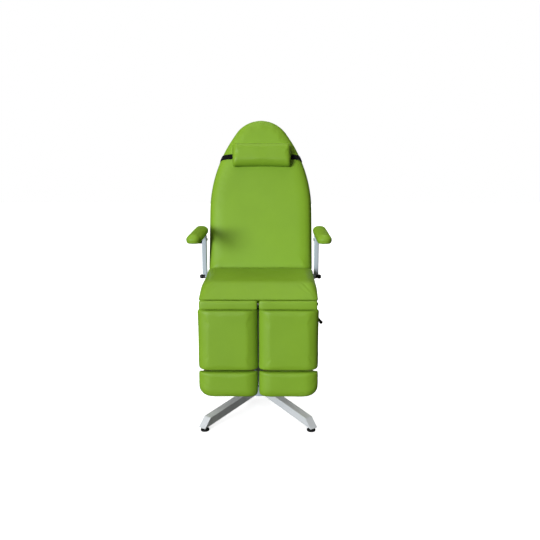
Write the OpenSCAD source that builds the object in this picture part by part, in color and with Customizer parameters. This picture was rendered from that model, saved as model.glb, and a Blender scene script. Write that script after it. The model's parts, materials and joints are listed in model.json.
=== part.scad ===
// Podiatry chair on a fixed four-leg pedestal, with two independent leg rests,
// a reclining backrest, swing-back armrests and a head pillow on a strap.
// X is the sitter's left-right line, the sitter looks along -Y and Z is up.

/* [Seat] */
// Width of the seat, of the backrest and of the pair of leg rests
seat_w = 600; // [540:5:640]
// Front edge of the seat, ahead of the column
seat_front = 250; // [240:1:256]
// Rear edge of the seat, behind the column
seat_rear = 232; // [222:1:234]
// Height of the seat above the floor
seat_top = 705; // [700:1:720]
// Thickness of the seat upholstery
seat_pad = 69; // [64:1:69]
// Fall of the waterfall front edge
seat_fall = 34; // [10:1:40]
// Length of the waterfall front
seat_fall_run = 135; // [80:5:200]
// Thickness of the seat board
seat_board_t = 18; // [15:1:18]
// Width of the seat frame tubes
frame_w = 30; // [25:1:32]
// Height of the seat frame tubes
frame_h = 25; // [22:1:26]
// From each side of the seat to the middle of the long frame tube
frame_inset = 53; // [50:1:55]

/* [Backrest] */
// Lean of the backrest from the vertical at its upright stop
back_tilt = 19; // [15:1:22]
// Length of the backrest from the seat surface to its top
back_len = 904; // [860:1:930]
// Straight length of the sides before they curve in
back_straight = 355; // [330:5:380]
// Radius of the round top
nose_r = 183; // [165:1:200]
// Thickness of the backrest upholstery
back_pad = 60; // [50:1:66]
// Thickness of the backrest board
back_board_t = 12; // [9:1:15]
// Depth of the backrest frame tubes
back_tube = 25; // [20:1:30]
// Half distance between the backrest uprights
back_frame_x = 110; // [90:1:120]
// Distance of the backrest face behind the column at seat height
back_face = 238; // [236:1:244]
// Furthest recline from the upright stop
recline_max = 65; // [40:1:65]

/* [Backrest hinge] */
// Hinge line behind the column
hinge_back = 258; // [256:1:262]
// Hinge line above the floor
hinge_up = 655; // [652:1:658]
// Diameter of the hinge shaft
shaft_d = 20; // [16:1:20]
// Wall of the hinge bushes
bush_wall = 3; // [2:0.5:3]

/* [Leg rests] */
// Knee hinge line ahead of the column
knee_front = 272; // [271:1:276]
// Knee hinge line above the floor
knee_up = 624; // [622:1:624]
// Diameter of the knee shaft
knee_shaft_d = 10; // [8:1:10]
// Front face of the leg upholstery, ahead of the column
leg_face = 302; // [300:1:308]
// Thickness of the calf and foot upholstery
leg_pad = 45; // [40:1:47]
// Thickness of the calf and foot boards
leg_board_t = 12; // [9:1:12]
// Side of the square rails of the leg rests
rail = 25; // [23:1:25]
// Gap between the left and the right leg rest
leg_gap = 10; // [6:1:20]
// Top of the knee strip
strip_top = 645; // [640:1:645]
// Seam between knee strip and calf pad
strip_low = 600.5; // [599:0.5:602]
// Seam between calf pad and foot pad
calf_low = 281; // [270:1:300]
// Lower edge of the foot pad
foot_low = 143; // [120:1:160]
// Radius of the outer lower corner of the foot pad
foot_corner_r = 54; // [30:1:60]
// Diameter of the foot slide tubes
slide_d = 18; // [14:1:18]
// Furthest raise of the leg rests
raise_max = 75; // [40:1:75]

/* [Armrests] */
// Width of the arm pads
arm_w = 78; // [60:1:84]
// Gap between the sides of the seat and the arm pads
arm_gap = 3; // [3:1:10]
// Front end of the arm pads, ahead of the column
arm_front = 100; // [60:5:140]
// Rear end of the arm pads, behind the column
arm_rear = 320; // [300:5:340]
// Height of the top of the arm pads
arm_top = 948; // [900:1:980]
// Thickness of the arm pads
arm_pad = 41; // [30:1:50]
// Thickness of the arm pad boards
arm_board_t = 6; // [4:1:8]
// Width of the armrest posts
post_w = 28; // [24:1:30]
// Depth of the armrest posts
post_d = 22; // [18:1:24]
// Diameter of the tilt bolt
tilt_bolt_d = 10; // [8:1:10]

/* [Head pillow] */
// Length of the pillow across the backrest
pillow_w = 335; // [280:5:350]
// Height of the pillow
pillow_h = 140; // [110:1:150]
// Thickness of the pillow
pillow_t = 62; // [40:1:70]
// From the top of the backrest down to the middle of the pillow
pillow_down = 236; // [225:1:280]
// Offset of the pillow to the right
pillow_side = 7; // [-10:1:10]
// Width of the elastic strap
strap_w = 27; // [20:1:35]
// Thickness of the elastic strap
strap_t = 1.5; // [1:0.1:2]

/* [Base] */
// Diameter of the column
column_d = 100; // [80:5:120]
// Half spacing of the feet across the chair
foot_x = 266; // [230:1:290]
// Half spacing of the feet along the chair
foot_y = 378; // [330:1:420]
// Width of the leg tubes
leg_w = 42; // [36:1:50]
// Height of the leg tubes
leg_h = 40; // [36:1:44]
// Wall of the leg tubes
leg_wall = 3; // [2:0.5:4]
// Underside of the legs above the floor at the middle
leg_up = 60; // [50:1:70]
// Diameter of the levelling feet
level_d = 44; // [36:1:50]
// Diameter of the levelling screws
stud_d = 12; // [8:1:14]

/* [Gas springs] */
// Diameter of the gas spring bodies
spring_d = 23; // [18:1:24]
// Diameter of the gas spring rods
rod_d = 8; // [6:1:10]
// Diameter of the spring pins
pin_d = 8; // [6:1:8]
// Crank radius of the backrest spring
back_crank = 80; // [76:1:82]
// Crank radius of the leg rest springs
leg_crank = 55; // [52:1:57]
// Thickness of the spring eyes
eye_t = 10; // [8:1:10]

/* [Levers] */
// Diameter of the ball of the short lever
ball_d = 19; // [16:1:22]
// Diameter of the lever rods
lever_d = 9; // [7:1:10]
// Diameter of the long lever's grip
grip_d = 19; // [15:1:22]

/* [Clearances] */
// Radial clearance of turning and sliding fits
fit = 0.05; // [0.03:0.01:0.08]
// Gap beside soft parts
soft_gap = 0.4; // [0.3:0.1:1]

/* [Hidden] */
$fn = 48;

vinyl = "#83ae3c";
silver = "#a9b4c0";
light_grey = "#d5d8da";
steel = "#8b9096";
black = "#1d1d1f";
ply = "#c8a878";
brass = "#b59a55";

// Levels of the seat, from the cushion down to the column
half_w = seat_w / 2;
frame_x = half_w - frame_inset;
seat_base = seat_top - seat_pad;
board_base = seat_base - seat_board_t;
frame_base = board_base - frame_h;
carrier_h = 41;
carrier_base = frame_base - carrier_h;
flange_t = 8;
seat_edge_r = 20;
board_inset = 20;
board_front = seat_front - 26;
board_rear = seat_rear - 17;

// Backrest, in its own frame: depth back from the face and height along it
hinge_t = (hinge_back - back_face) * cos(back_tilt) - (hinge_up - seat_top) * sin(back_tilt);
hinge_s = (hinge_back - back_face) * sin(back_tilt) + (hinge_up - seat_top) * cos(back_tilt);
back_low = -5;
back_mid = (back_len + back_low) / 2;
back_half_l = (back_len - back_low) / 2;
back_run = back_len - back_straight;
nose_s = back_len - nose_r;
back_side_r = (pow(half_w, 2) + pow(back_run - nose_r, 2) - pow(nose_r, 2)) / (2 * (half_w - nose_r));
nose_angle = atan2(nose_s - back_straight, back_side_r - half_w);
back_edge_r = 20;
back_crown = 7;
back_board_in = 14;
board_t0 = back_pad;
tube_t0 = back_pad + back_board_t;
upright_w = 40;
upright_low = -20;
pillow_up = back_len - pillow_down;
strap_low = pillow_up - strap_w / 2;
strap_top = strap_low + strap_w;
upright_top = strap_low - 15;
sleeve_r = 16;
sleeve_half = back_frame_x + 15;
bush_len = 25;

// Knee, calf and foot levels
pad_x0 = leg_gap / 2;
pad_x1 = half_w;
pad_xc = (pad_x0 + pad_x1) / 2;
leg_board_y = leg_face - leg_pad;
rail_y = leg_board_y - leg_board_t - rail / 2;
rail_in_x = 60;
rail_out_x = half_w - 60;
rail_top = knee_up - 34;
rail_low = calf_low + 19;
knuckle_r = 11;
lug_r = 10;
lug_t = 8;
plate_t = 2.2;
plate_y = knee_front + knuckle_r - 0.1;
strip_t = leg_face - plate_y - plate_t;
spring_x = half_w / 2;
notch_w = 60;
cross_top = rail_top - 45;
cross_low = rail_low + 35;
notch_low = cross_top - 5;
slide_top = rail_top - 30;
slide_low = foot_low + 22;
seam_gap = 1;

// Armrests
arm_in = half_w + arm_gap;
arm_base = arm_top - arm_pad;
arm_board_base = arm_base - arm_board_t;
tilt_up = arm_board_base - 29;
post_in = arm_in + 6;
post_out = post_in + post_w;
post_top = arm_board_base - 6;
carrier_w = 30;
arm_mid = arm_in + arm_w / 2;
journal_d = shaft_d - 6;
thread_d = journal_d - 2;
shaft_seat_x = half_w - 4;
barrel_out = half_w + 21;
shaft_end = barrel_out + 24;
knob_out = barrel_out + 32;

// Base
column_low = leg_up + leg_h + 8;
column_top = carrier_base - flange_t;
hub_r = column_d / 2 + 25;
leg_angle = atan2(foot_y, foot_x);
foot_run = norm([foot_x, foot_y]);
foot_over = 24;
leg_end = foot_run + foot_over;
leg_drop = 40 / (leg_end);
mitre = 45;
level_h = 12;
boss_d = stud_d + 10;
weld_gap = 0.1;
stud_top = 34;
boss_h = 10;

// Gas springs: their rods run level at the middle of the crank's rise
back_half = recline_max / 2;
leg_half = raise_max / 2;
back_line = hinge_up - back_crank * (1 + cos(back_half)) / 2;
leg_line = knee_up - leg_crank * (1 + cos(leg_half)) / 2;
back_pin_y = hinge_back + back_crank * sin(back_half);
back_pin_z = hinge_up - back_crank * cos(back_half);
leg_pin_y = -knee_front + leg_crank * sin(leg_half);
leg_pin_z = knee_up - leg_crank * cos(leg_half);
back_sag = back_crank * (1 - cos(back_half));
leg_sag = leg_crank * (1 - cos(leg_half));
back_anchor_y = -60;
leg_anchor_y = 20;
back_body_len = 205;
leg_body_len = 178;
back_rod_len = back_pin_y - back_anchor_y - 2 * back_crank * sin(back_half) - 28;
leg_rod_len = leg_anchor_y - leg_pin_y - 28;
cheek_in = eye_t / 2 + 0.5;
cheek_t = 6;
cheek_r = 11;
eye_r = 9;
slot_side = 1.3;

// Levers
ball_x = half_w - 4;
ball_y = 200;
ball_z = frame_base + 15;
ball_pivot_x = half_w - 100;
lever_line = frame_base - 12;
lever_stud_d = 8;
grip_y = 100;
grip_pivot_z = frame_base - 14;
grip_tip_x = half_w + 28;
grip_tip_z = grip_pivot_z - 96;
paddle_s = 70;
paddle_t = tube_t0 + back_tube + 15;

// The column stands this far ahead of the middle of the whole chair
chair_front = -leg_end * sin(leg_angle) - leg_w / 2 * cos(leg_angle);
chair_rear = back_face + (back_len - back_board_in) * sin(back_tilt) + tube_t0 * cos(back_tilt);
column_y = -(chair_front + chair_rear) / 2;

// Places the children, drawn about the column, in the chair's own frame
module placed() translate([0, column_y, 0]) children();

// Places the children in the backrest: Y is depth from its face, Z runs along it
module on_back() placed() translate([0, back_face, seat_top]) rotate([-back_tilt, 0, 0]) children();

// A cylinder along X from x0 to x1
module rod_x(d, x0, x1) translate([x0, 0, 0]) rotate([0, 90, 0]) cylinder(d = d, h = x1 - x0);

// A cylinder along Y from y0 to y1
module rod_y(d, y0, y1) translate([0, y0, 0]) rotate([-90, 0, 0]) cylinder(d = d, h = y1 - y0);

// Extrudes a profile drawn in Y and Z along X, from x0 for the given length
module yz(x0, len) translate([x0, 0, 0]) rotate([90, 0, 90]) linear_extrude(len) children();

// A flat link with round ends of radius r, from a to b
module link(a, b, r) {
    n = r * [a.y - b.y, b.x - a.x] / norm(b - a);
    translate(a) circle(r);
    translate(b) circle(r);
    polygon([a + n, b + n, b - n, a - n]);
}

// A rectangle with round corners, centred
module round_rect(w, h, r) {
    square([w - 2 * r, h], center = true);
    square([w, h - 2 * r], center = true);
    for (sx = [-1, 1], sy = [-1, 1])
        translate([sx * (w / 2 - r), sy * (h / 2 - r)]) circle(r);
}

// A closed box tube between two corners, hollow along the axis numbered open
module box_tube(low, high, wall, open) {
    size = high - low;
    inner = [for (i = [0:2]) i == open ? size[i] + 2 : size[i] - 2 * wall];
    start = [for (i = [0:2]) i == open ? low[i] - 1 : low[i] + wall];
    difference() {
        translate(low) cube(size);
        translate(start) cube(inner);
    }
}

// A rod along a path of points with ball joints
module bent_rod(path, d) {
    for (i = [0:len(path) - 2]) {
        step = path[i + 1] - path[i];
        run = norm(step);
        translate(path[i])
            rotate([0, acos(step.z / run), atan2(step.y, step.x)])
                cylinder(d = d, h = run);
        translate(path[i + 1]) sphere(d = d, $fn = 24);
    }
}

// Outline of a rectangle w by h with corner radii [right top, left top, left low, right low],
// counterclockwise, with the straight sides cut into steps
function corner(cx, cy, r, a0, steps) =
    [for (i = [0:steps]) [cx + r * cos(a0 + 90 * i / steps), cy + r * sin(a0 + 90 * i / steps)]];
function between(a, b, steps) = [for (i = [1:steps - 1]) a + (b - a) * i / steps];
function rect_outline(w, h, r, steps, side_x, side_y) =
    let (
        c0 = corner(w / 2 - r[0], h / 2 - r[0], r[0], 0, steps),
        c1 = corner(-w / 2 + r[1], h / 2 - r[1], r[1], 90, steps),
        c2 = corner(-w / 2 + r[2], -h / 2 + r[2], r[2], 180, steps),
        c3 = corner(w / 2 - r[3], -h / 2 + r[3], r[3], 270, steps)
    )
    concat(
        c0, between(c0[steps], c1[0], side_x),
        c1, between(c1[steps], c2[0], side_y),
        c2, between(c2[steps], c3[0], side_x),
        c3, between(c3[steps], c0[0], side_y)
    );

// Half outline of the backrest from its low corner to the top, as [half width, height]
back_corner_r = 14;
function back_side(inset) = concat(
    [for (i = [0:3]) [
        half_w - inset - back_corner_r + back_corner_r * cos(-90 + 30 * i),
        back_low + inset + back_corner_r + back_corner_r * sin(-90 + 30 * i)
    ]],
    [for (i = [1:2]) [half_w - inset, back_low + (back_straight - back_low) * i / 3]],
    [for (i = [0:7]) let (a = nose_angle * i / 7) [
        half_w - back_side_r + (back_side_r - inset) * cos(a),
        back_straight + (back_side_r - inset) * sin(a)
    ]],
    [for (i = [1:5]) let (a = nose_angle + (90 - nose_angle) * i / 6) [
        (nose_r - inset) * cos(a),
        nose_s + (nose_r - inset) * sin(a)
    ]]
);
function back_outline(inset) = let (side = back_side(inset), n = len(side)) concat(
    side,
    [[0, back_len - inset]],
    [for (i = [n - 1:-1:0]) [-side[i].x, side[i].y]]
);
function back_half_at(s) = s < back_straight
    ? half_w
    : half_w - back_side_r + sqrt(pow(back_side_r, 2) - pow(s - back_straight, 2));

// Rows of a cushion's section, each [inset from the outline, height, shrink of the crown]:
// drawn in at the board, fullest at mid height, a round edge and then the crown
function cushion_rows(t, r, draw, crown, rows) = concat(
    [[draw, 0, 0], [draw * 0.35, (t - crown) * 0.22, 0], [0, (t - crown) * 0.5, 0]],
    [for (i = [1:3]) let (a = 30 * i) [r * (1 - cos(a)), t - crown - r + r * sin(a), 0]],
    [for (i = [1:rows]) let (u = i / (rows + 1)) [r, t - crown * pow(1 - u, 2), u]]
);
function fall_at(y, edge, run, fall) = y > edge ? 0 : -fall * pow((edge - y) / run, 2);

// A stuffed cushion on an outline of half size hx by hy. The top may fall towards -Y:
// beyond the line edge it drops by fall over the length run
module cushion(outline, hx, hy, t, r, draw, crown, rows = 3, edge = -1e6, run = 1, fall = 0) {
    section = cushion_rows(t, r, draw, crown, rows);
    n = len(outline);
    m = len(section);
    body = [for (row = section, p = outline)
        let (
            x = p.x * (1 - row[0] / hx) * (1 - row[2]),
            y = p.y * (1 - row[0] / hy) * (1 - row[2])
        )
        [x, y, row[1] + fall_at(y, edge, run, fall) * row[1] / t]
    ];
    points = concat(body, [[0, 0, 0], [0, 0, t]]);
    faces = concat(
        [for (j = [0:n - 1]) [m * n, j, (j + 1) % n]],
        [for (i = [0:m - 2], j = [0:n - 1]) [i * n + j, (i + 1) * n + j, (i + 1) * n + (j + 1) % n]],
        [for (i = [0:m - 2], j = [0:n - 1]) [i * n + j, (i + 1) * n + (j + 1) % n, i * n + (j + 1) % n]],
        [for (j = [0:n - 1]) [m * n + 1, (m - 1) * n + (j + 1) % n, (m - 1) * n + j]]
    );
    polyhedron(points, faces);
}

// Turns a cushion drawn flat so that its crown faces the front
module facing_front() rotate([90, 0, 0]) children();

// A clamp knob with five lobes, its length along Z
module lobed_knob(r, h) {
    linear_extrude(h) {
        circle(r * 0.76);
        for (i = [0:4]) rotate(72 * i) translate([r * 0.68, 0]) circle(r * 0.32, $fn = 24);
    }
}

// Base

module base_hub() placed() color(silver) {
    difference() {
        translate([0, 0, leg_up - 8]) cylinder(r = hub_r, h = leg_h + 16);
        translate([0, 0, leg_up - 9]) cylinder(r = hub_r - 8, h = leg_h + 9);
    }
}

module column() placed() color(silver) {
    difference() {
        translate([0, 0, column_low]) cylinder(d = column_d, h = column_top - column_low);
        translate([0, 0, column_low - 1]) cylinder(d = column_d - 8, h = column_top - column_low - 5);
    }
    translate([0, 0, column_top]) cylinder(r = flange_r, h = flange_t);
}

// One leg along +X from the hub, its closed end cut back to a mitre
module leg() {
    low = leg_up;
    high = leg_up + leg_h;
    top_end = leg_end - mitre;
    difference() {
        union() {
            difference() {
                rotate([90, 0, 0]) translate([0, 0, -leg_w / 2]) linear_extrude(leg_w)
                    polygon([[0, low], [leg_end, low - leg_drop * leg_end],
                        [top_end, high - leg_drop * top_end], [0, high]]);
                rotate([90, 0, 0]) translate([0, 0, leg_wall - leg_w / 2])
                    linear_extrude(leg_w - 2 * leg_wall)
                        polygon([[0, low + leg_wall],
                            [leg_end - 4 * leg_wall, low + leg_wall - leg_drop * (leg_end - 4 * leg_wall)],
                            [top_end - 2 * leg_wall, high - leg_wall - leg_drop * (top_end - 2 * leg_wall)],
                            [0, high - leg_wall]]);
            }
            translate([foot_run, 0, leg_up - leg_drop * foot_run + 1]) cylinder(d = boss_d, h = boss_h);
        }
        translate([foot_run, 0, 0]) cylinder(r = stud_d / 2 + fit, h = stud_top + 1);
        cylinder(r = hub_r + weld_gap, h = high + 20);
    }
}

module front_legs() placed() color(light_grey) {
    for (a = [-leg_angle, -180 + leg_angle]) rotate(a) leg();
}

module rear_legs() placed() color(light_grey) {
    for (a = [leg_angle, 180 - leg_angle]) rotate(a) leg();
}

// A levelling foot: pad, jam nut and screw
module levelling_foot(sx, sy) placed() color(black) translate([sx * foot_x, sy * foot_y, 0]) {
    rotate_extrude() polygon([
        [0, 0], [level_d / 2 - 1.5, 0], [level_d / 2, 1.5], [level_d / 2, 7],
        [level_d / 2 - 3, 10], [12, level_h], [0, level_h]
    ]);
    translate([0, 0, level_h - 0.5]) cylinder(d = stud_d + 9, h = 8, $fn = 6);
    cylinder(d = stud_d, h = stud_top);
}

module levelling_foot_front_left() levelling_foot(-1, -1);
module levelling_foot_front_right() levelling_foot(1, -1);
module levelling_foot_rear_left() levelling_foot(-1, 1);
module levelling_foot_rear_right() levelling_foot(1, 1);

// Seat

carrier_x = column_d / 2 + 35;
carrier_w0 = 30;
flange_r = carrier_x + carrier_w0 / 2 + 12;
carrier_front = 180;
carrier_rear = 215;
anchor_h = 25;
carrier_bolt_in = 28;
frame_bolt_y = 120;

// A pair of cheeks with a fixed pin between them, about x, linking pin and root in Y and Z
module spring_cheeks(x, pin, root) {
    for (x0 = [x - cheek_in - cheek_t, x + cheek_in]) yz(x0, cheek_t) link(pin, root, cheek_r);
    translate([0, pin.x, pin.y]) rod_x(pin_d, x - cheek_in - 1, x + cheek_in + 1);
}

module seat_carrier() placed() color(steel) {
    for (sx = [-1, 1]) {
        box_tube([sx * carrier_x - carrier_w0 / 2, -carrier_front, carrier_base],
            [sx * carrier_x + carrier_w0 / 2, carrier_rear, frame_base], 3, 1);
        x0 = sx > 0 ? carrier_x + carrier_w0 / 2 : -spring_x - 20;
        box_tube([x0, leg_anchor_y + 14, carrier_base],
            [x0 + spring_x + 20 - carrier_x - carrier_w0 / 2, leg_anchor_y + 14 + anchor_h,
                carrier_base + anchor_h], 3, 0);
        spring_cheeks(sx * spring_x, [leg_anchor_y, leg_line], [leg_anchor_y + 20, leg_line - 8]);
    }
    box_tube([carrier_w0 / 2 - carrier_x, back_anchor_y - 14 - anchor_h, carrier_base],
        [carrier_x - carrier_w0 / 2, back_anchor_y - 14, carrier_base + anchor_h], 3, 0);
    spring_cheeks(0, [back_anchor_y, back_line], [back_anchor_y - 20, back_line - 8]);
}

hinge_lug_x = half_w - 15;
hinge_lug_t = 10;
hinge_root = [hinge_back - 30, frame_base + 13];

module seat_frame() placed() color(steel) difference() {
    union() {
        for (sx = [-1, 1]) {
            box_tube([sx * frame_x - frame_w / 2, -board_front + 9, frame_base],
                [sx * frame_x + frame_w / 2, seat_rear + 3, board_base], 2.5, 1);
            stub = sx > 0 ? frame_x + frame_w / 2 : -hinge_lug_x - hinge_lug_t;
            translate([stub, hinge_root.x - 15, frame_base])
                cube([hinge_lug_x + hinge_lug_t - frame_x - frame_w / 2, 22, frame_h]);
            lug = sx > 0 ? hinge_lug_x : -hinge_lug_x - hinge_lug_t;
            yz(lug, hinge_lug_t) {
                link([hinge_back, hinge_up], hinge_root, 12);
                translate([hinge_back, hinge_up]) circle(sleeve_r);
            }
            for (x = [rail_in_x - rail / 2 - lug_t - 1, rail_out_x + rail / 2 + 1])
                yz(sx > 0 ? x : -x - lug_t, lug_t)
                    link([-knee_front, knee_up], [-board_front + 24, frame_base + 3], lug_r);
        }
        for (y = [-board_front + 9, seat_rear - 82])
            box_tube([frame_w / 2 - frame_x, y, frame_base],
                [frame_x - frame_w / 2, y + frame_w, board_base], 2.5, 0);
        // Studs of the two levers on the right-hand side
        translate([ball_pivot_x, -ball_y, lever_line - 15]) {
            cylinder(d = lever_stud_d, h = frame_base - lever_line + 16);
            cylinder(d = lever_stud_d + 8, h = 6, $fn = 6);
        }
        translate([frame_x - 12, -grip_y + 8, grip_pivot_z]) cube([24, 8, frame_base - grip_pivot_z]);
        translate([frame_x, 0, grip_pivot_z]) {
            rod_y(24, -grip_y + 8, -grip_y + 16);
            rod_y(lever_stud_d, -grip_y - 12, -grip_y + 9);
            rod_y(lever_stud_d + 6, -grip_y - 14, -grip_y - 8);
        }
    }
    translate([0, hinge_back, hinge_up]) rod_x(shaft_d, -half_w, half_w);
    translate([0, -knee_front, knee_up]) rod_x(knee_shaft_d, -half_w, half_w);
}

module seat_board() placed() color(ply)
    translate([0, (board_rear - board_front) / 2, board_base])
        linear_extrude(seat_board_t)
            round_rect(seat_w - 2 * board_inset, board_front + board_rear, 20);

module seat_cushion() placed() color(vinyl) {
    hy = (seat_front + seat_rear) / 2;
    mid = (seat_rear - seat_front) / 2;
    outline = rect_outline(seat_w, 2 * hy, [24, 24, 30, 30], 4, 4, 8);
    translate([0, mid, seat_base])
        cushion(outline, half_w, hy, seat_pad, seat_edge_r, 5, 3, 3,
            seat_fall_run - seat_front - mid, seat_fall_run, seat_fall);
}

// Four flanged bolts up through the carrier and four through the frame into the board
module seat_bolts() placed() color(black) {
    for (sx = [-1, 1], y = [carrier_bolt_in - carrier_front, carrier_rear - carrier_bolt_in])
        translate([sx * carrier_x, y, carrier_base + 3]) cylinder(d = 16, h = 5, $fn = 6);
    for (sx = [-1, 1], y = [-frame_bolt_y, frame_bolt_y])
        translate([sx * frame_x, y, frame_base - 3]) cylinder(d = 14, h = 3);
}

module hinge_shaft() placed() color(steel) translate([0, hinge_back, hinge_up]) {
    rod_x(shaft_d, -shaft_seat_x, shaft_seat_x);
    rod_x(journal_d, -barrel_out, barrel_out);
    rod_x(thread_d, -shaft_end, shaft_end);
}

module knee_shaft() placed() color(steel) translate([0, -knee_front, knee_up])
    rod_x(knee_shaft_d, -rail_out_x - rail / 2 - lug_t - 5, rail_out_x + rail / 2 + lug_t + 5);

knee_bush_wall = 2;

// Bushes on the two fixed shafts, on which the backrest and the leg rests turn
module bush(d, wall, x0, x1) difference() {
    rod_x(d + 2 * wall, x0, x1);
    rod_x(d, x0 - 1, x1 + 1);
}

module hinge_bushes() placed() color(brass) {
    translate([0, hinge_back, hinge_up]) {
        bush(shaft_d, bush_wall, -sleeve_half, bush_len - sleeve_half);
        bush(shaft_d, bush_wall, sleeve_half - bush_len, sleeve_half);
    }
    translate([0, -knee_front, knee_up])
        for (x = [rail_in_x, rail_out_x], sx = [-1, 1])
            bush(knee_shaft_d, knee_bush_wall, sx * x - rail / 2, sx * x + rail / 2);
}

// Backrest

module back_frame() color(silver) {
    difference() {
        union() {
            on_back() {
                for (sx = [-1, 1]) {
                    box_tube([sx * back_frame_x - upright_w / 2, tube_t0, upright_low],
                        [sx * back_frame_x + upright_w / 2, tube_t0 + back_tube, upright_top], 2.5, 2);
                    yz(sx * back_frame_x - 8, 16)
                        link([tube_t0 + back_tube / 2, upright_low + 6], [hinge_t, hinge_s], back_tube / 2 - 2);
                }
                for (s = [paddle_s - 13, upright_top - 60])
                    box_tube([upright_w / 2 - back_frame_x, tube_t0, s],
                        [back_frame_x - upright_w / 2, tube_t0 + back_tube, s + 26], 2.5, 0);
                // Ears that carry the release lever
                for (x0 = [-16, 10])
                    yz(x0, 6) link([tube_t0 + back_tube - 4, paddle_s], [paddle_t, paddle_s], 9);
                translate([0, paddle_t, paddle_s]) rod_x(lever_stud_d, -12, 12);
            }
            placed() {
                translate([0, hinge_back, hinge_up]) rod_x(2 * sleeve_r, -sleeve_half, sleeve_half);
                spring_cheeks(0, [back_pin_y, back_pin_z], [hinge_back, hinge_up]);
            }
        }
        placed() translate([0, hinge_back, hinge_up])
            rod_x(shaft_d + 2 * bush_wall + 2 * fit, -sleeve_half - 1, sleeve_half + 1);
    }
}

module back_board() on_back() color(ply)
    translate([0, tube_t0, 0]) rotate([90, 0, 0]) linear_extrude(back_board_t)
        polygon(back_outline(back_board_in));

module back_cushion() on_back() color(vinyl)
    translate([0, back_pad, back_mid]) facing_front()
        cushion([for (p = back_outline(0)) [p.x, p.y - back_mid]],
            half_w, back_half_l, back_pad, back_edge_r, 5, back_crown);

// Screws through the uprights into the board
module back_screws() on_back() color(black)
    for (sx = [-1, 1], s = [40, 300, upright_top - 30])
        translate([sx * back_frame_x, 0, s]) rod_y(12, tube_t0 + back_tube, tube_t0 + back_tube + 3);

// Hand lever behind the backrest that frees its gas spring
module back_release_lever() on_back() color(black) translate([0, paddle_t, paddle_s]) {
    difference() {
        union() {
            rod_x(18, -9, 9);
            yz(-5, 10) polygon([[3, 4], [8, -4], [52, 34], [48, 42]]);
            translate([0, 50, 38]) rod_x(14, -45, 45);
        }
        rod_x(lever_stud_d + 2 * fit, -10, 10);
    }
}

// Gas springs, drawn from the tail pin at the origin along +Y

module spring_body(len) difference() {
    union() {
        rod_x(2 * eye_r, -eye_t / 2, eye_t / 2);
        rod_y(10, 3, 22);
        rod_y(spring_d, 20, len);
        rod_y(spring_d - 4, len, len + 4);
    }
    rod_x(pin_d + 2 * fit, -eye_t, eye_t);
    rod_y(rod_d + 2 * fit, 26, len + 5);
}

// The rod ends in a slotted eye, drawn about the origin, and its shank runs along -Y
module spring_rod(len, sag) {
    slot_r = pin_d / 2 + slot_side;
    wall = 4.5;
    difference() {
        union() {
            yz(-eye_t / 2, eye_t) link([0, -sag / 2], [0, sag / 2], slot_r + wall);
            rod_y(rod_d, -len, -slot_r - 1);
        }
        yz(-eye_t, 2 * eye_t) link([0, -sag / 2], [0, sag / 2], slot_r);
    }
}

module back_spring_body() placed() color(black)
    translate([0, back_anchor_y, back_line]) spring_body(back_body_len);

module back_spring_rod() placed() color(silver)
    translate([0, back_pin_y, back_line]) spring_rod(back_rod_len, back_sag);

module leg_spring_body() placed() color(black)
    translate([spring_x, leg_anchor_y, leg_line]) mirror([0, 1, 0]) spring_body(leg_body_len);

module leg_spring_rod() placed() color(silver)
    translate([spring_x, leg_pin_y, leg_line]) mirror([0, 1, 0]) spring_rod(leg_rod_len, leg_sag);

module leg_spring_body_left() mirror([1, 0, 0]) leg_spring_body();
module leg_spring_body_right() leg_spring_body();
module leg_spring_rod_left() mirror([1, 0, 0]) leg_spring_rod();
module leg_spring_rod_right() leg_spring_rod();

// Head pillow

strap_slack = 0.6;

module head_pillow() on_back() color(vinyl) {
    outline = rect_outline(pillow_w, pillow_h, [22, 22, 22, 22], 4, 4, 2);
    translate([pillow_side, -strap_t - 2 * soft_gap, pillow_up]) facing_front()
        cushion(outline, pillow_w / 2, pillow_h / 2, pillow_t, 24, 8, 12);
}

// Half width of the strap's loop at the height s, straight between its two edges
function strap_half(s) = strap_slack + back_half_at(strap_low)
    + (back_half_at(strap_top) - back_half_at(strap_low)) * (s - strap_low) / strap_w;

module strap_block(s0, s1, grow) translate([0, tube_t0 + soft_gap + grow, 0]) rotate([90, 0, 0])
    linear_extrude(tube_t0 + 2 * (soft_gap + grow)) polygon([
        [-strap_half(s0) - grow, s0], [strap_half(s0) + grow, s0],
        [strap_half(s1) + grow, s1], [-strap_half(s1) - grow, s1]
    ]);

// Elastic strap, a flat loop that narrows with the backrest
module pillow_strap() on_back() color(black) difference() {
    strap_block(strap_low, strap_top, strap_t);
    strap_block(strap_low - 5, strap_top + 5, 0);
}

// Leg rests, drawn on the right-hand side

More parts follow.
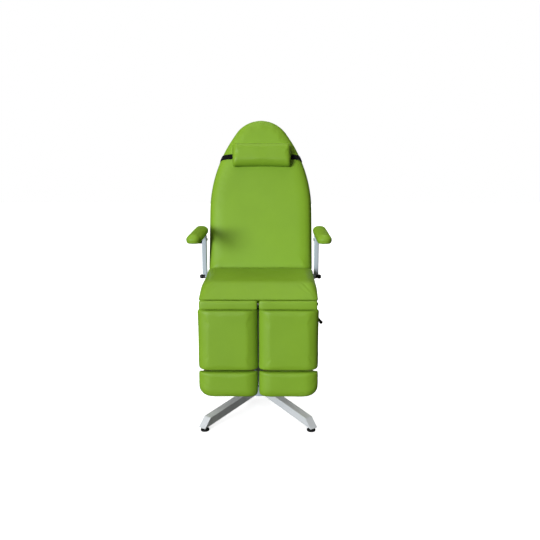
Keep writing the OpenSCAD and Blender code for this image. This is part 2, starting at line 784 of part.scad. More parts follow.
module leg_frame() placed() color(silver) difference() {
    union() {
        for (x = [rail_in_x, rail_out_x]) {
            translate([x - rail / 2, -rail_y - rail / 2, rail_low])
                cube([rail, rail, rail_top - rail_low]);
            yz(x - rail / 2, rail)
                link([4 - rail_y, rail_top - 4], [-knee_front, knee_up], 9);
            translate([0, -knee_front, knee_up]) rod_x(2 * knuckle_r, x - rail / 2, x + rail / 2);
        }
        for (z = [cross_low, cross_top])
            translate([rail_in_x, -rail_y - rail / 2, z - rail])
                cube([rail_out_x - rail_in_x, rail, rail]);
        spring_cheeks(spring_x, [leg_pin_y, leg_pin_z], [-rail_y, cross_top - rail / 2]);
        // Plate that carries the knee strip
        translate([pad_x0 + 12, -plate_y - plate_t, strip_low + 3])
            cube([pad_x1 - pad_x0 - 24, plate_t, strip_top - strip_low - 6]);
        // Boss of the slide clamp
        translate([rail_out_x, 0, rail_low + 14]) rod_y(18, -rail_y, -rail_y + rail / 2 + 9);
    }
    translate([0, -knee_front, knee_up])
        rod_x(knee_shaft_d + 2 * knee_bush_wall + 2 * fit, 0, half_w);
    for (x = [rail_in_x, rail_out_x])
        translate([x, -rail_y, rail_low - 1]) cylinder(r = slide_d / 2 + fit, h = rail_top - rail_low - 8);
    translate([rail_out_x, 0, rail_low + 14]) rod_y(8 + 2 * fit, -rail_y, -rail_y + rail);
    // The cross tubes are hollow between the rails
    for (z = [cross_low, cross_top])
        translate([rail_in_x + rail / 2 + 4, -rail_y - rail / 2 + 2.5, z - rail + 2.5])
            cube([rail_out_x - rail_in_x - rail - 8, rail - 5, rail - 5]);
}

// A leg board with a notch for the gas spring, from z0 to z1
module leg_board(z0, z1, notch) placed() color(ply)
    translate([0, -leg_board_y, 0]) rotate([90, 0, 0]) translate([0, 0, -leg_board_t])
        linear_extrude(leg_board_t) difference() {
            translate([pad_xc, (z0 + z1) / 2]) round_rect(pad_x1 - pad_x0 - 30, z1 - z0, 10);
            if (notch) translate([spring_x - notch_w / 2, notch_low]) square([notch_w, z1]);
        }

module calf_board() leg_board(calf_low + 10, rail_top - 10, true);
module foot_board() leg_board(foot_low + 14, calf_low - 10, false);

// A pad on the leg rest between two heights, with the given corner radii
module leg_cushion(z0, z1, t, radii, r, crown, back_y) placed() color(vinyl) {
    w = pad_x1 - pad_x0;
    h = z1 - z0;
    outline = rect_outline(w, h, radii, 4, 3, 3);
    translate([pad_xc, -back_y, (z0 + z1) / 2]) facing_front()
        cushion(outline, w / 2, h / 2, t, r, min(4, h / 12), crown);
}

module knee_cushion() leg_cushion(strip_low, strip_top, strip_t, [10, 10, 5, 5], 8, 3, plate_y + plate_t);
module calf_cushion()
    leg_cushion(calf_low, strip_low - seam_gap, leg_pad, [10, 10, 8, 8], 12, 5, leg_board_y);
module foot_cushion()
    leg_cushion(foot_low, calf_low - seam_gap, leg_pad, [8, 8, 20, foot_corner_r], 12, 4, leg_board_y);

// Foot extension: two tubes that slide in the rails, joined by two bars
module foot_slide() placed() color(silver) {
    for (x = [rail_in_x, rail_out_x])
        translate([x, -rail_y, slide_low]) cylinder(d = slide_d, h = slide_top - slide_low);
    for (z = [slide_low, slide_low + 88])
        translate([rail_in_x - rail / 2, -rail_y - rail / 2, z])
            cube([rail_out_x - rail_in_x + rail, rail, 22]);
}

// Clamp screw with a lobed knob behind the outer rail
module foot_clamp() placed() color(black) translate([rail_out_x, 0, rail_low + 14]) {
    rod_y(8, slide_d / 2 + 0.3 - rail_y, rail / 2 + 12 - rail_y);
    translate([0, rail / 2 + 10 - rail_y, 0]) rotate([-90, 0, 0]) lobed_knob(17, 16);
}

module leg_frame_left() mirror([1, 0, 0]) leg_frame();
module leg_frame_right() leg_frame();
module calf_board_left() mirror([1, 0, 0]) calf_board();
module calf_board_right() calf_board();
module knee_cushion_left() mirror([1, 0, 0]) knee_cushion();
module knee_cushion_right() knee_cushion();
module calf_cushion_left() mirror([1, 0, 0]) calf_cushion();
module calf_cushion_right() calf_cushion();
module foot_slide_left() mirror([1, 0, 0]) foot_slide();
module foot_slide_right() foot_slide();
module foot_board_left() mirror([1, 0, 0]) foot_board();
module foot_board_right() foot_board();
module foot_cushion_left() mirror([1, 0, 0]) foot_cushion();
module foot_cushion_right() foot_cushion();
module foot_clamp_left() mirror([1, 0, 0]) foot_clamp();
module foot_clamp_right() foot_clamp();

// Armrests, drawn on the right-hand side

module arm_post() placed() color(silver) difference() {
    union() {
        translate([(post_in + post_out) / 2, hinge_back, hinge_up + 12])
            linear_extrude(post_top - hinge_up - 12) round_rect(post_w, post_d, 6);
        translate([0, hinge_back, hinge_up]) rod_x(28, shaft_seat_x + 1, barrel_out - 0.5);
    }
    translate([0, hinge_back, hinge_up]) {
        rod_x(journal_d + 2 * fit, shaft_seat_x, barrel_out);
        rod_x(27.4, barrel_out - 0.5, knob_out);
    }
    translate([0, hinge_back, tilt_up]) rod_x(tilt_bolt_d, post_in - 1, post_out + 1);
}

// Tilt bolt with its head on the inner side of the post
module arm_bolt() placed() color(steel) translate([0, hinge_back, tilt_up]) {
    rod_x(tilt_bolt_d, post_in - 1, post_out + carrier_w - 4);
    rod_x(16, post_in - 5, post_in);
}

module arm_clamp() placed() color(black) translate([barrel_out + 0.3, hinge_back, hinge_up])
    difference() {
        union() {
            rotate([0, 90, 0]) cylinder(d = 21, h = 14);
            translate([12, 0, 0]) rotate([0, 90, 0]) lobed_knob(13, knob_out - barrel_out - 12);
        }
        rod_x(thread_d + 2 * fit, -1, shaft_end - barrel_out + 1);
    }

// Block beside the post that carries the arm pad
module arm_carrier() placed() color(black) difference() {
    yz(post_out + 0.4, carrier_w) polygon([
        [hinge_back - 16, tilt_up - 12], [hinge_back - 10, tilt_up - 24],
        [hinge_back + 10, tilt_up - 24], [hinge_back + 16, tilt_up - 12],
        [hinge_back + 26, arm_board_base - 4], [hinge_back + 26, arm_board_base],
        [hinge_back - 26, arm_board_base], [hinge_back - 26, arm_board_base - 4]
    ]);
    translate([0, hinge_back, tilt_up]) rod_x(tilt_bolt_d + 2 * fit, post_out, post_out + carrier_w - 3);
}

module arm_board() placed() color(black)
    translate([arm_mid, (arm_rear - arm_front) / 2, arm_board_base]) linear_extrude(arm_board_t)
        round_rect(arm_w - 20, arm_front + arm_rear - 24, arm_w / 2 - 12);

module arm_cushion() placed() color(vinyl) {
    l = arm_front + arm_rear;
    end_r = arm_w / 2 - 3;
    outline = rect_outline(arm_w, l, [end_r, end_r, end_r, end_r], 5, 1, 5);
    translate([arm_mid, (arm_rear - arm_front) / 2, arm_base])
        cushion(outline, arm_w / 2, l / 2, arm_pad, 15, 4, 5);
}

module arm_post_left() mirror([1, 0, 0]) arm_post();
module arm_post_right() arm_post();
module arm_bolt_left() mirror([1, 0, 0]) arm_bolt();
module arm_bolt_right() arm_bolt();
module arm_clamp_left() mirror([1, 0, 0]) arm_clamp();
module arm_clamp_right() arm_clamp();
module arm_carrier_left() mirror([1, 0, 0]) arm_carrier();
module arm_carrier_right() arm_carrier();
module arm_board_left() mirror([1, 0, 0]) arm_board();
module arm_board_right() arm_board();
module arm_cushion_left() mirror([1, 0, 0]) arm_cushion();
module arm_cushion_right() arm_cushion();

// Release levers on the right-hand side

module ball_lever() placed() color(black) {
    difference() {
        union() {
            translate([ball_pivot_x, -ball_y, lever_line - 6]) cylinder(d = 20, h = 12);
            bent_rod([[ball_pivot_x - 26, -ball_y, lever_line], [ball_pivot_x + 68, -ball_y, lever_line],
                [ball_x, -ball_y, ball_z]], lever_d);
            translate([ball_x, -ball_y, ball_z]) sphere(d = ball_d);
        }
        translate([ball_pivot_x, -ball_y, lever_line - 20]) cylinder(r = lever_stud_d / 2 + fit, h = 40);
    }
}

module grip_lever() placed() color(black) {
    hub = [frame_x, -grip_y, grip_pivot_z];
    tip = [grip_tip_x, -grip_y, grip_tip_z];
    start = hub + (tip - hub) * 0.42;
    difference() {
        union() {
            translate([frame_x, 0, grip_pivot_z]) rod_y(20, -grip_y - 6, -grip_y + 6);
            bent_rod([hub, tip], lever_d);
            bent_rod([start, tip], grip_d * 0.8);
            translate(tip) sphere(d = grip_d);
        }
        translate([frame_x, 0, grip_pivot_z]) rod_y(lever_stud_d + 2 * fit, -grip_y - 20, -grip_y + 20);
    }
}

base_hub();
column();
front_legs();
rear_legs();
levelling_foot_front_left();
levelling_foot_front_right();
levelling_foot_rear_left();
levelling_foot_rear_right();
seat_carrier();
seat_frame();
seat_board();
seat_cushion();
seat_bolts();
hinge_shaft();
knee_shaft();
hinge_bushes();
back_frame();
back_board();
back_cushion();
back_screws();
back_release_lever();
back_spring_body();
back_spring_rod();
head_pillow();
pillow_strap();
leg_frame_left();
leg_frame_right();
calf_board_left();
calf_board_right();
knee_cushion_left();
knee_cushion_right();
calf_cushion_left();
calf_cushion_right();
leg_spring_body_left();
leg_spring_body_right();
leg_spring_rod_left();
leg_spring_rod_right();
foot_slide_left();
foot_slide_right();
foot_board_left();
foot_board_right();
foot_cushion_left();
foot_cushion_right();
foot_clamp_left();
foot_clamp_right();
arm_post_left();
arm_post_right();
arm_bolt_left();
arm_bolt_right();
arm_clamp_left();
arm_clamp_right();
arm_carrier_left();
arm_carrier_right();
arm_board_left();
arm_board_right();
arm_cushion_left();
arm_cushion_right();
ball_lever();
grip_lever();
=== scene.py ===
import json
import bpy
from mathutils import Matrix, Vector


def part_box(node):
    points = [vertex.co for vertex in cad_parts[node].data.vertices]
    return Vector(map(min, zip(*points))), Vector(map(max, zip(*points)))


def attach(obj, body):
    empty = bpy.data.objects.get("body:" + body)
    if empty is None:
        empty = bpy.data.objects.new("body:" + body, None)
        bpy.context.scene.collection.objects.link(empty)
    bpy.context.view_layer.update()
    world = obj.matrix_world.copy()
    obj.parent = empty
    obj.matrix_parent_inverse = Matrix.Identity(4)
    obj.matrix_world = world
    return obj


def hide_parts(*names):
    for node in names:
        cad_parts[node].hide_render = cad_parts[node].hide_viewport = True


bl_info = {
    "name": "Podiatry Chair",
    "version": (1, 0, 0),
    "blender": (4, 5, 0),
    "location": "3D View > Sidebar > Chair",
    "description": "Upholstery, paint and hardware of a podiatry chair with two leg rests",
    "category": "Add Mesh",
}

from math import atan2, cos, degrees, dist, pi, radians, sin, sqrt

import bpy
import numpy as np
from bpy.props import FloatProperty, FloatVectorProperty, PointerProperty
from bpy.types import Operator, Panel, PropertyGroup
from mathutils import Matrix, Vector, noise

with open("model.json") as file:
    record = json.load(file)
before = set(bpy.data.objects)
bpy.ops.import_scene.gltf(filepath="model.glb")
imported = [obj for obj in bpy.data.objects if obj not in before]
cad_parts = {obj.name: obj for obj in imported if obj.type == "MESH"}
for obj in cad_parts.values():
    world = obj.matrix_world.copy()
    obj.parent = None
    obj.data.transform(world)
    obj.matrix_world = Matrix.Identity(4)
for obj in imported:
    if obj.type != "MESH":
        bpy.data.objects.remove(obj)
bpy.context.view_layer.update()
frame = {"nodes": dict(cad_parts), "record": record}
NODES = frame["nodes"]
COLUMN_LOW, COLUMN_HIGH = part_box("column")
COLUMN_Y = (COLUMN_LOW.y + COLUMN_HIGH.y) / 2
SIDES = (("left", -1), ("right", 1))
BODY_OF = {node: body for body, nodes in frame["record"]["behaviour"]["bodies"].items() for node in nodes}
MATERIALS = {}
GROUPS = {}


# Settings


def setting(name, description, default, **more):
    kind = FloatVectorProperty if isinstance(default, tuple) else FloatProperty
    return kind(name=name, description=description, default=default, **more)


def strength(name, which, default):
    return setting(name, "Strength of the " + which, default, min=0.0)


class UpholsterySizes(PropertyGroup):
    """Sizes and colour of the cushions."""

    colour: setting("Colour", "Colour of the upholstery", (0.2165, 0.386, 0.0235), subtype="COLOR")
    voxel: setting("Mesh Size", "Edge length of the cushion meshes before they are subdivided", 0.006,
                   min=0.004, max=0.012, unit="LENGTH")
    pressure: setting("Stuffing", "Pressure of the stuffing on its cover", 4.0, min=0.0, max=10.0)
    back_tilt: setting("Backrest Lean", "Lean of the backrest from the vertical", radians(19),
                       subtype="ANGLE")
    back_face: setting("Backrest Face", "Distance of the backrest's face behind the column at seat height",
                       0.238, unit="LENGTH")
    seat_top: setting("Seat Height", "Height of the seat above the floor", 0.705, unit="LENGTH")


class StageSettings(PropertyGroup):
    """Camera and light."""

    lens: setting("Lens", "Focal length of the camera", 40.6, subtype="DISTANCE_CAMERA")
    camera_place: setting("Camera", "Place of the camera", (0.0797, COLUMN_Y - 3.2143, 1.3925),
                          subtype="TRANSLATION")
    camera_pitch: setting("Pitch", "Angle of the camera above straight down", radians(78.6), subtype="ANGLE")
    camera_turn: setting("Camera Turn", "Turn of the camera about the vertical", radians(0.4),
                         subtype="ANGLE")
    key: strength("Key Light", "front light", 3.06)
    top: strength("Top Light", "overhead light", 0.55)
    ceiling: strength("Ceiling Light", "light above and behind", 0.7)
    fill: strength("Fill Light", "soft light from the front", 0.4)
    side: strength("Side Light", "light behind at the right", 1.1)
    rear: strength("Rear Light", "light behind the chair", 0.95)
    ambient: strength("Room Light", "even light of the room", 0.045)


# Tools


def deselect():
    if bpy.context.object and bpy.context.object.mode != "OBJECT":
        bpy.ops.object.mode_set(mode="OBJECT")
    bpy.ops.object.select_all(action="DESELECT")


def only(obj):
    """Selects one object and makes it the active one."""
    deselect()
    obj.select_set(True)
    bpy.context.view_layer.objects.active = obj
    return obj


def named(name):
    """Names the object that a primitive operator has just made."""
    obj = bpy.context.object
    obj.name = obj.data.name = name
    return obj


def settle(obj, place=None):
    """Puts the object at the origin, with its place in its mesh."""
    if place is not None:
        obj.matrix_world = place
    only(obj)
    bpy.ops.object.transform_apply(location=True, rotation=True, scale=True)
    return obj


def change(thing, settings):
    for key, value in settings.items():
        setattr(thing, key, value)


def apply_modifier(obj, kind, **settings):
    only(obj)
    modifier = obj.modifiers.new(kind.title(), kind)
    change(modifier, settings)
    bpy.ops.object.modifier_apply(modifier=modifier.name)
    return obj


def break_edges(obj, width, angle):
    """Bevels the edges that turn by more than an angle in degrees."""
    limit = radians(angle)
    return apply_modifier(obj, "BEVEL", limit_method="ANGLE", angle_limit=limit, width=width, segments=2)


def points_of(obj, kind="co"):
    """The places, or the normals, of an object's points."""
    values = np.empty(len(obj.data.vertices) * 3, np.float32)
    obj.data.vertices.foreach_get(kind, values)
    return values.reshape(-1, 3).astype(float)


def set_points(obj, co):
    obj.data.vertices.foreach_set("co", np.asarray(co, np.float32).ravel())
    obj.data.update()


def smooth(obj, angle=None):
    only(obj)
    if angle is None:
        bpy.ops.object.shade_smooth()
    else:
        bpy.ops.object.shade_smooth_by_angle(angle=radians(angle))
    return obj


def finish(obj, material, body, slot, *nodes):
    """Gives a new piece its material and body, and hides the CAD nodes that it stands for. The slot is not
    used.
    """
    obj.data.materials.clear()
    obj.data.materials.append(MATERIALS[material])
    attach(obj, body)
    if nodes:
        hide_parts(*nodes)
    return obj


def clean(obj, flat=0.0):
    """Joins points that coincide, merges flat faces where asked, and turns the normals outwards."""
    only(obj)
    bpy.ops.object.mode_set(mode="EDIT")
    bpy.ops.mesh.select_all(action="SELECT")
    bpy.ops.mesh.remove_doubles(threshold=0.00001)
    if flat:
        bpy.ops.mesh.dissolve_limited(angle_limit=radians(flat))
    bpy.ops.mesh.select_all(action="SELECT")
    bpy.ops.mesh.normals_make_consistent(inside=False)
    bpy.ops.object.mode_set(mode="OBJECT")
    return obj


def new_piece(name, points, faces):
    mesh = bpy.data.meshes.new(name)
    mesh.from_pydata([tuple(p) for p in points], [], faces)
    obj = bpy.data.objects.new(name, mesh)
    bpy.context.collection.objects.link(obj)
    return clean(obj)


def ring_faces(rows, count, closed=False):
    """Faces between rings of points, and from the last ring to the first where closed."""
    faces = []
    for j in range(rows if closed else rows - 1):
        this, following = j * count, (j + 1) % rows * count
        for k in range(count):
            m = (k + 1) % count
            faces.append((this + k, this + m, following + m, following + k))
    return faces


def softened(node, width, material, slot):
    """A copy of a CAD node with its edges broken, which stands for the node."""
    obj = bpy.data.objects.new(node + "_finished", NODES[node].data.copy())
    bpy.context.collection.objects.link(obj)
    break_edges(clean(obj, 0.5), width, 30)
    apply_modifier(smooth(obj, 40), "WEIGHTED_NORMAL", keep_sharp=True, weight=100)
    return finish(obj, material, BODY_OF[node], slot, node)


def turned(name, profile, segments, lobes=0, depth=0.0, place=None):
    """A turned piece round its own Z from [radius, height] rows, lobed where asked."""
    points = []
    for radius, height in profile:
        for i in range(segments):
            a = 2 * pi * i / segments
            r = radius * (1 + depth * (cos(lobes * a) - 1))
            points.append((r * cos(a), r * sin(a), height))
    return smooth(settle(new_piece(name, points, ring_faces(len(profile), segments)), place), 35)


def weld_bead(name, path):
    """A round bead along a closed path of points, its thickness rippled like a weld."""
    radius, share, ripple, step, sides = 0.0022, 0.16, 0.004, 0.0011, 8
    dense = []
    for a, b in zip(path, path[1:] + path[:1]):
        count = max(1, int((b - a).length / step))
        dense += [a.lerp(b, i / count) for i in range(count)]
    points = []
    up = Vector((0.3, 0.2, 1)).normalized()
    for i, p in enumerate(dense):
        ahead = dense[(i + 1) % len(dense)] - dense[i - 1]
        ahead.normalize()
        side = up.cross(ahead).normalized()
        other = ahead.cross(side)
        r = radius * (1 + share * sin(2 * pi * i * step / ripple))
        points += [p + r * (cos(a) * side + sin(a) * other)
                   for a in (2 * pi * k / sides for k in range(sides))]
    return smooth(new_piece(name, points, ring_faces(len(dense), sides, closed=True)))


def paint(node, material):
    """Gives a CAD node a material."""
    NODES[node].data.materials.clear()
    NODES[node].data.materials.append(MATERIALS[material])


class Softens:
    """Breaks the edges of the CAD nodes in PARTS and paints those in PAINTED.

    Their rows are [node, edge width, material, slot] and [node, material].
    """

    PARTS = ()
    PAINTED = ()

    def execute(self, context):
        for row in self.PARTS:
            softened(*row)
        for row in self.PAINTED:
            paint(*row)
        return {"FINISHED"}


# Materials


def put(tree, kind, inputs=None, **settings):
    """Adds a node. An input takes a value, or the socket that feeds it."""
    node = tree.nodes.new("ShaderNode" + kind)
    change(node, settings)
    for key, value in (inputs or {}).items():
        if isinstance(value, bpy.types.NodeSocket):
            tree.links.new(value, node.inputs[key])
        else:
            node.inputs[key].default_value = value
    return node


def spaced(sockets):
    """Names of sockets with their spaces back, from keyword arguments."""
    return {key.replace("_", " "): value for key, value in sockets.items()}


def feed(tree, node, **sockets):
    """Links outputs to the named inputs of a node."""
    for key, value in spaced(sockets).items():
        tree.links.new(value, node.inputs[key])


def math_node(tree, operation, a, b=0.0, clamp=False):
    return put(tree, "Math", {0: a, 1: b}, operation=operation, use_clamp=clamp).outputs[0]


def times(tree, a, b):
    return math_node(tree, "MULTIPLY", a, b)


def ranged(tree, value, source=(0.0, 1.0), target=(0.0, 1.0)):
    """Maps a value from one range to another, and holds it there."""
    inputs = {"Value": value, "From Min": source[0], "From Max": source[1], "To Min": target[0],
              "To Max": target[1]}
    return put(tree, "MapRange", inputs).outputs["Result"]


def mixed(tree, share, colour, other):
    return put(tree, "Mix", {"Factor": share, 6: colour, 7: other}, data_type="RGBA").outputs[2]


def clouds(tree, vector, scale, detail, roughness=0.5, distortion=0.0):
    inputs = {"Vector": vector, "Scale": scale, "Detail": detail, "Roughness": roughness,
              "Distortion": distortion}
    return put(tree, "TexNoise", inputs).outputs["Fac"]


def new_group(name, inputs, **outputs):
    """A shader node group whose inputs are a vector and others. Returns it, its inputs and its end."""
    tree = bpy.data.node_groups.new(name, "ShaderNodeTree")
    tree.interface.new_socket(name="Vector", in_out="INPUT", socket_type="NodeSocketVector")
    for label, default in inputs.items():
        kind = "Float" if isinstance(default, float) else "Color" if default else "Vector"
        socket = tree.interface.new_socket(name=label, in_out="INPUT", socket_type="NodeSocket" + kind)
        if default:
            socket.default_value = default
    for label, kind in outputs.items():
        tree.interface.new_socket(name=label, in_out="OUTPUT", socket_type="NodeSocket" + kind)
    return tree, tree.nodes.new("NodeGroupInput").outputs, tree.nodes.new("NodeGroupOutput")


def drift_group():
    """Two tones of one colour in broad clouds."""
    tree, given, end = new_group(
        "Colour Drift",
        {"Colour": (0.5, 0.5, 0.5, 1), "Other Colour": (0.4, 0.4, 0.4, 1), "Scale": 5.0, "Amount": 0.5},
        Colour="Color", Mask="Float",
    )
    broad = clouds(tree, given["Vector"], given["Scale"], 4.0, 0.55)
    share = times(tree, ranged(tree, broad, (0.35, 0.65)), given["Amount"])
    feed(tree, end, Colour=mixed(tree, share, given["Colour"], given["Other Colour"]), Mask=share)
    return tree


def grain_group():
    """The pebbles of a coated cover or of moulded plastic."""
    tree, given, end = new_group("Leather Grain", {"Cells": 700.0, "Fine": 0.3}, Height="Float")
    inputs = {"Vector": given["Vector"], "Scale": given["Cells"], "Randomness": 0.9}
    cells = put(tree, "TexVoronoi", inputs, feature="SMOOTH_F1")
    creases = ranged(tree, cells.outputs["Distance"], (0.1, 0.6))
    speck = clouds(tree, given["Vector"], times(tree, given["Cells"], 2.2), 2.0)
    feed(tree, end, Height=put(tree, "Mix", {"Factor": given["Fine"], 2: creases, 3: speck}).outputs[0])
    return tree


def peel_group():
    """The orange peel of sprayed paint, on slow waves."""
    tree, given, end = new_group("Orange Peel", {"Scale": 400.0, "Waves": 12.0}, Height="Float")
    peel = clouds(tree, given["Vector"], given["Scale"], 2.0)
    waves = clouds(tree, given["Vector"], given["Waves"], 1.0)
    feed(tree, end, Height=math_node(tree, "ADD", peel, times(tree, waves, 0.5)))
    return tree


def wear_group():
    """Chips along the edges."""
    tree, given, end = new_group("Edge Wear", {"Radius": 0.0015, "Amount": 0.5, "Scale": 60.0}, Mask="Float")
    bevel = put(tree, "Bevel", {"Radius": given["Radius"]}, samples=4)
    flat = put(tree, "NewGeometry")
    dot = put(tree, "VectorMath", {0: bevel.outputs[0], 1: flat.outputs["Normal"]}, operation="DOT_PRODUCT")
    edge = ranged(tree, dot.outputs["Value"], (0.995, 0.9))
    chips = ranged(tree, clouds(tree, given["Vector"], given["Scale"], 6.0, 0.7), (0.45, 0.62))
    feed(tree, end, Mask=times(tree, times(tree, edge, chips), given["Amount"]))
    return tree


def dust_group():
    """Dust on the faces that look up."""
    tree, given, end = new_group("Settled Dust", {"Normal": None, "Amount": 0.15}, Mask="Float")
    up = put(tree, "SeparateXYZ", {0: given["Normal"]})
    level = ranged(tree, up.outputs["Z"], (0.6, 1.0))
    cloud = clouds(tree, given["Vector"], 14.0, 5.0)
    feed(tree, end, Mask=times(tree, times(tree, level, cloud), given["Amount"]))
    return tree


def ply_group():
    """The layers and the figure of plywood."""
    tree, given, end = new_group(
        "Ply Layers", {"Layers": 420.0, "Light": (0.6, 0.42, 0.24, 1), "Dark": (0.33, 0.2, 0.1, 1)},
        Colour="Color", Height="Float",
    )
    split = put(tree, "SeparateXYZ", {0: given["Vector"]})
    wave = math_node(tree, "SINE", times(tree, split.outputs["Z"], given["Layers"]))
    band = ranged(tree, wave, (-0.2, 0.2))
    stretch = put(tree, "Mapping", {"Vector": given["Vector"], "Scale": (6.0, 90.0, 90.0)})
    figure = clouds(tree, stretch.outputs[0], 1.0, 6.0, distortion=0.6)
    blend = math_node(tree, "ADD", times(tree, band, 0.35), times(tree, figure, 0.65))
    feed(tree, end, Colour=mixed(tree, blend, given["Light"], given["Dark"]), Height=figure)
    return tree


def use(tree, group, vector, **inputs):
    """Adds one of the shared groups."""
    return put(tree, "Group", {"Vector": vector, **spaced(inputs)}, node_tree=GROUPS[group]).outputs


def new_material(name, colour, **sockets):
    """A material whose shader's constants are on its own sockets. Returns its coordinates too."""
    material = bpy.data.materials.new(name)
    material.use_nodes = True
    material.diffuse_color = (*colour, 1)
    tree = material.node_tree
    shader = tree.nodes["Principled BSDF"]
    shader.inputs["Base Color"].default_value = (*colour, 1)
    for key, value in spaced(sockets).items():
        shader.inputs[key].default_value = value
    return material, tree, shader, put(tree, "TexCoord").outputs


def bump(tree, shader, height, distance, amount):
    node = put(tree, "Bump", {"Height": height, "Distance": distance, "Strength": amount})
    feed(tree, shader, Normal=node.outputs["Normal"])


def tone(colour, factor):
    return (*(min(1.0, c * factor) for c in colour), 1)


def drifting(tree, vector, colour, other, scale, amount):
    """A colour that drifts towards a lighter or darker tone of itself."""
    return use(tree, "drift", vector, Colour=tone(colour, 1.0), Other_Colour=tone(colour, other),
               Scale=scale, Amount=amount)


def vinyl_material(colour):
    material, tree, shader, at = new_material("Vinyl", colour, Roughness=0.5, Specular_IOR_Level=0.28)
    where = at["Object"]
    drift = drifting(tree, where, colour, other=0.9, scale=7.0, amount=0.5)
    rough = ranged(tree, clouds(tree, where, 18.0, 5.0), target=(0.42, 0.58))
    feed(tree, shader, Base_Color=drift["Colour"], Roughness=rough)
    bump(tree, shader, use(tree, "grain", where, Cells=620.0, Fine=0.3)["Height"], 0.00012, 0.6)
    return material


def paint_material(name, colour, rough, wear=0.4, metal=0.0):
    """Sprayed paint with dust on it, chipped to bare metal at its edges."""
    material, tree, shader, at = new_material(name, colour, Specular_IOR_Level=0.45)
    where = at["Object"]
    drift = drifting(tree, where, colour, other=0.88, scale=9.0, amount=0.6)
    dust = use(tree, "dust", where, Normal=at["Normal"], Amount=0.2)
    dusty = mixed(tree, dust["Mask"], drift["Colour"], (0.5, 0.48, 0.45, 1))
    worn = use(tree, "wear", where, Radius=0.0016, Amount=wear, Scale=45.0)["Mask"]
    shown = mixed(tree, worn, dusty, (0.45, 0.45, 0.46, 1))
    span = ranged(tree, clouds(tree, where, 30.0, 4.0), target=(rough - 0.07, rough + 0.07))
    shine = math_node(tree, "ADD", times(tree, worn, 0.8), metal, clamp=True)
    feed(tree, shader, Base_Color=shown, Roughness=span, Metallic=shine)
    bump(tree, shader, use(tree, "peel", where, Scale=420.0, Waves=14.0)["Height"], 0.0001, 0.5)
    return material


def plastic_material(name, colour, rough, cells):
    """Moulded plastic or rubber, rubbed grey at its edges."""
    material, tree, shader, at = new_material(name, colour, Specular_IOR_Level=0.4)
    where = at["Object"]
    drift = drifting(tree, where, colour, other=1.6, scale=25.0, amount=0.4)
    worn = use(tree, "wear", where, Radius=0.001, Amount=0.35, Scale=80.0)["Mask"]
    shown = mixed(tree, worn, drift["Colour"], (0.12, 0.12, 0.12, 1))
    span = ranged(tree, drift["Mask"], target=(rough - 0.06, rough + 0.1))
    feed(tree, shader, Base_Color=shown, Roughness=span)
    bump(tree, shader, use(tree, "grain", where, Cells=cells, Fine=0.6)["Height"], 0.00008, 0.6)
    return material


def metal_material(name, colour, rough, lines=(1.0, 1.0, 1.0)):
    """Bare metal with fine turning or drawing marks."""
    material, tree, shader, at = new_material(name, colour, Metallic=1.0)
    drift = drifting(tree, at["Object"], colour, other=0.75, scale=30.0, amount=0.6)
    stretch = put(tree, "Mapping", {"Vector": at["Object"], "Scale": lines})
    marks = clouds(tree, stretch.outputs[0], 900.0, 3.0)
    span = ranged(tree, marks, target=(rough - 0.08, rough + 0.12))
    feed(tree, shader, Base_Color=drift["Colour"], Roughness=span)
    bump(tree, shader, marks, 0.00005, 0.4)
    return material


def ply_material(name, tilt):
    """Birch plywood whose layers lie tilted from level."""
    material, tree, shader, at = new_material(name, (0.5, 0.34, 0.19), Roughness=0.6, Specular_IOR_Level=0.3)
    level = put(tree, "Mapping", {"Vector": at["Object"], "Rotation": (radians(tilt), 0.0, 0.0)})
    layers = use(tree, "ply", level.outputs[0], Layers=4200.0)
    span = ranged(tree, layers["Height"], target=(0.5, 0.75))
    feed(tree, shader, Base_Color=layers["Colour"], Roughness=span)
    bump(tree, shader, layers["Height"], 0.0003, 0.4)
    return material


def elastic_material(name, colour):
    material, tree, shader, at = new_material(
        name, colour, Roughness=0.9, Sheen_Weight=0.05, Specular_IOR_Level=0.12
    )
    across = {"Vector": at["UV"], "Scale": 1.0, "Distortion": 0.4, "Detail": 1.0}
    ribs = put(tree, "TexWave", across, bands_direction="Y").outputs["Fac"]
    lengthwise = {"Vector": at["UV"], "Scale": 1.0, "Distortion": 0.2}
    weave = put(tree, "TexWave", lengthwise, bands_direction="X").outputs["Fac"]
    height = math_node(tree, "ADD", ribs, times(tree, weave, 0.5))
    # The colour follows the relief: painted shade in the grooves between the ribs and a painted highlight on
    # their crests.
    feed(tree, shader, Base_Color=mixed(tree, height, tone(colour, 0.6), tone(colour, 1.8)))
    bump(tree, shader, height, 0.0003, 0.7)
    return material


def build_materials():
    sizes = bpy.context.scene.chair_upholstery
    GROUPS.update(drift=drift_group(), grain=grain_group(), peel=peel_group(), wear=wear_group(),
                  dust=dust_group(), ply=ply_group())
    MATERIALS.update(
        vinyl=vinyl_material(tuple(sizes.colour)),
        legs=paint_material("Leg Paint", (0.70, 0.71, 0.725), 0.42, wear=0.25),
        silver=paint_material("Silver Paint", (0.49, 0.545, 0.60), 0.38, wear=0.25, metal=0.2),
        frame=paint_material("Frame Paint", (0.22, 0.23, 0.24), 0.45),
        rubber=plastic_material("Rubber", (0.008, 0.008, 0.0085), 0.75, 900.0),
        black=plastic_material("Black Plastic", (0.006, 0.006, 0.0065), 0.48, 1400.0),
        black_metal=paint_material("Black Paint", (0.03, 0.03, 0.032), 0.38, wear=0.5),
        steel=metal_material("Steel", (0.56, 0.57, 0.58), 0.28, (1.0, 0.05, 1.0)),
        dark_steel=metal_material("Dark Steel", (0.10, 0.10, 0.105), 0.42),
        brass=metal_material("Bush Brass", (0.62, 0.42, 0.16), 0.35),
        ply_flat=ply_material("Plywood Flat", 0),
        ply_upright=ply_material("Plywood Upright", 90),
        ply_leaning=ply_material("Plywood Leaning", 90 + degrees(sizes.back_tilt)),
        elastic=elastic_material("Elastic", (0.0025, 0.0025, 0.003)),
    )


# Cushions

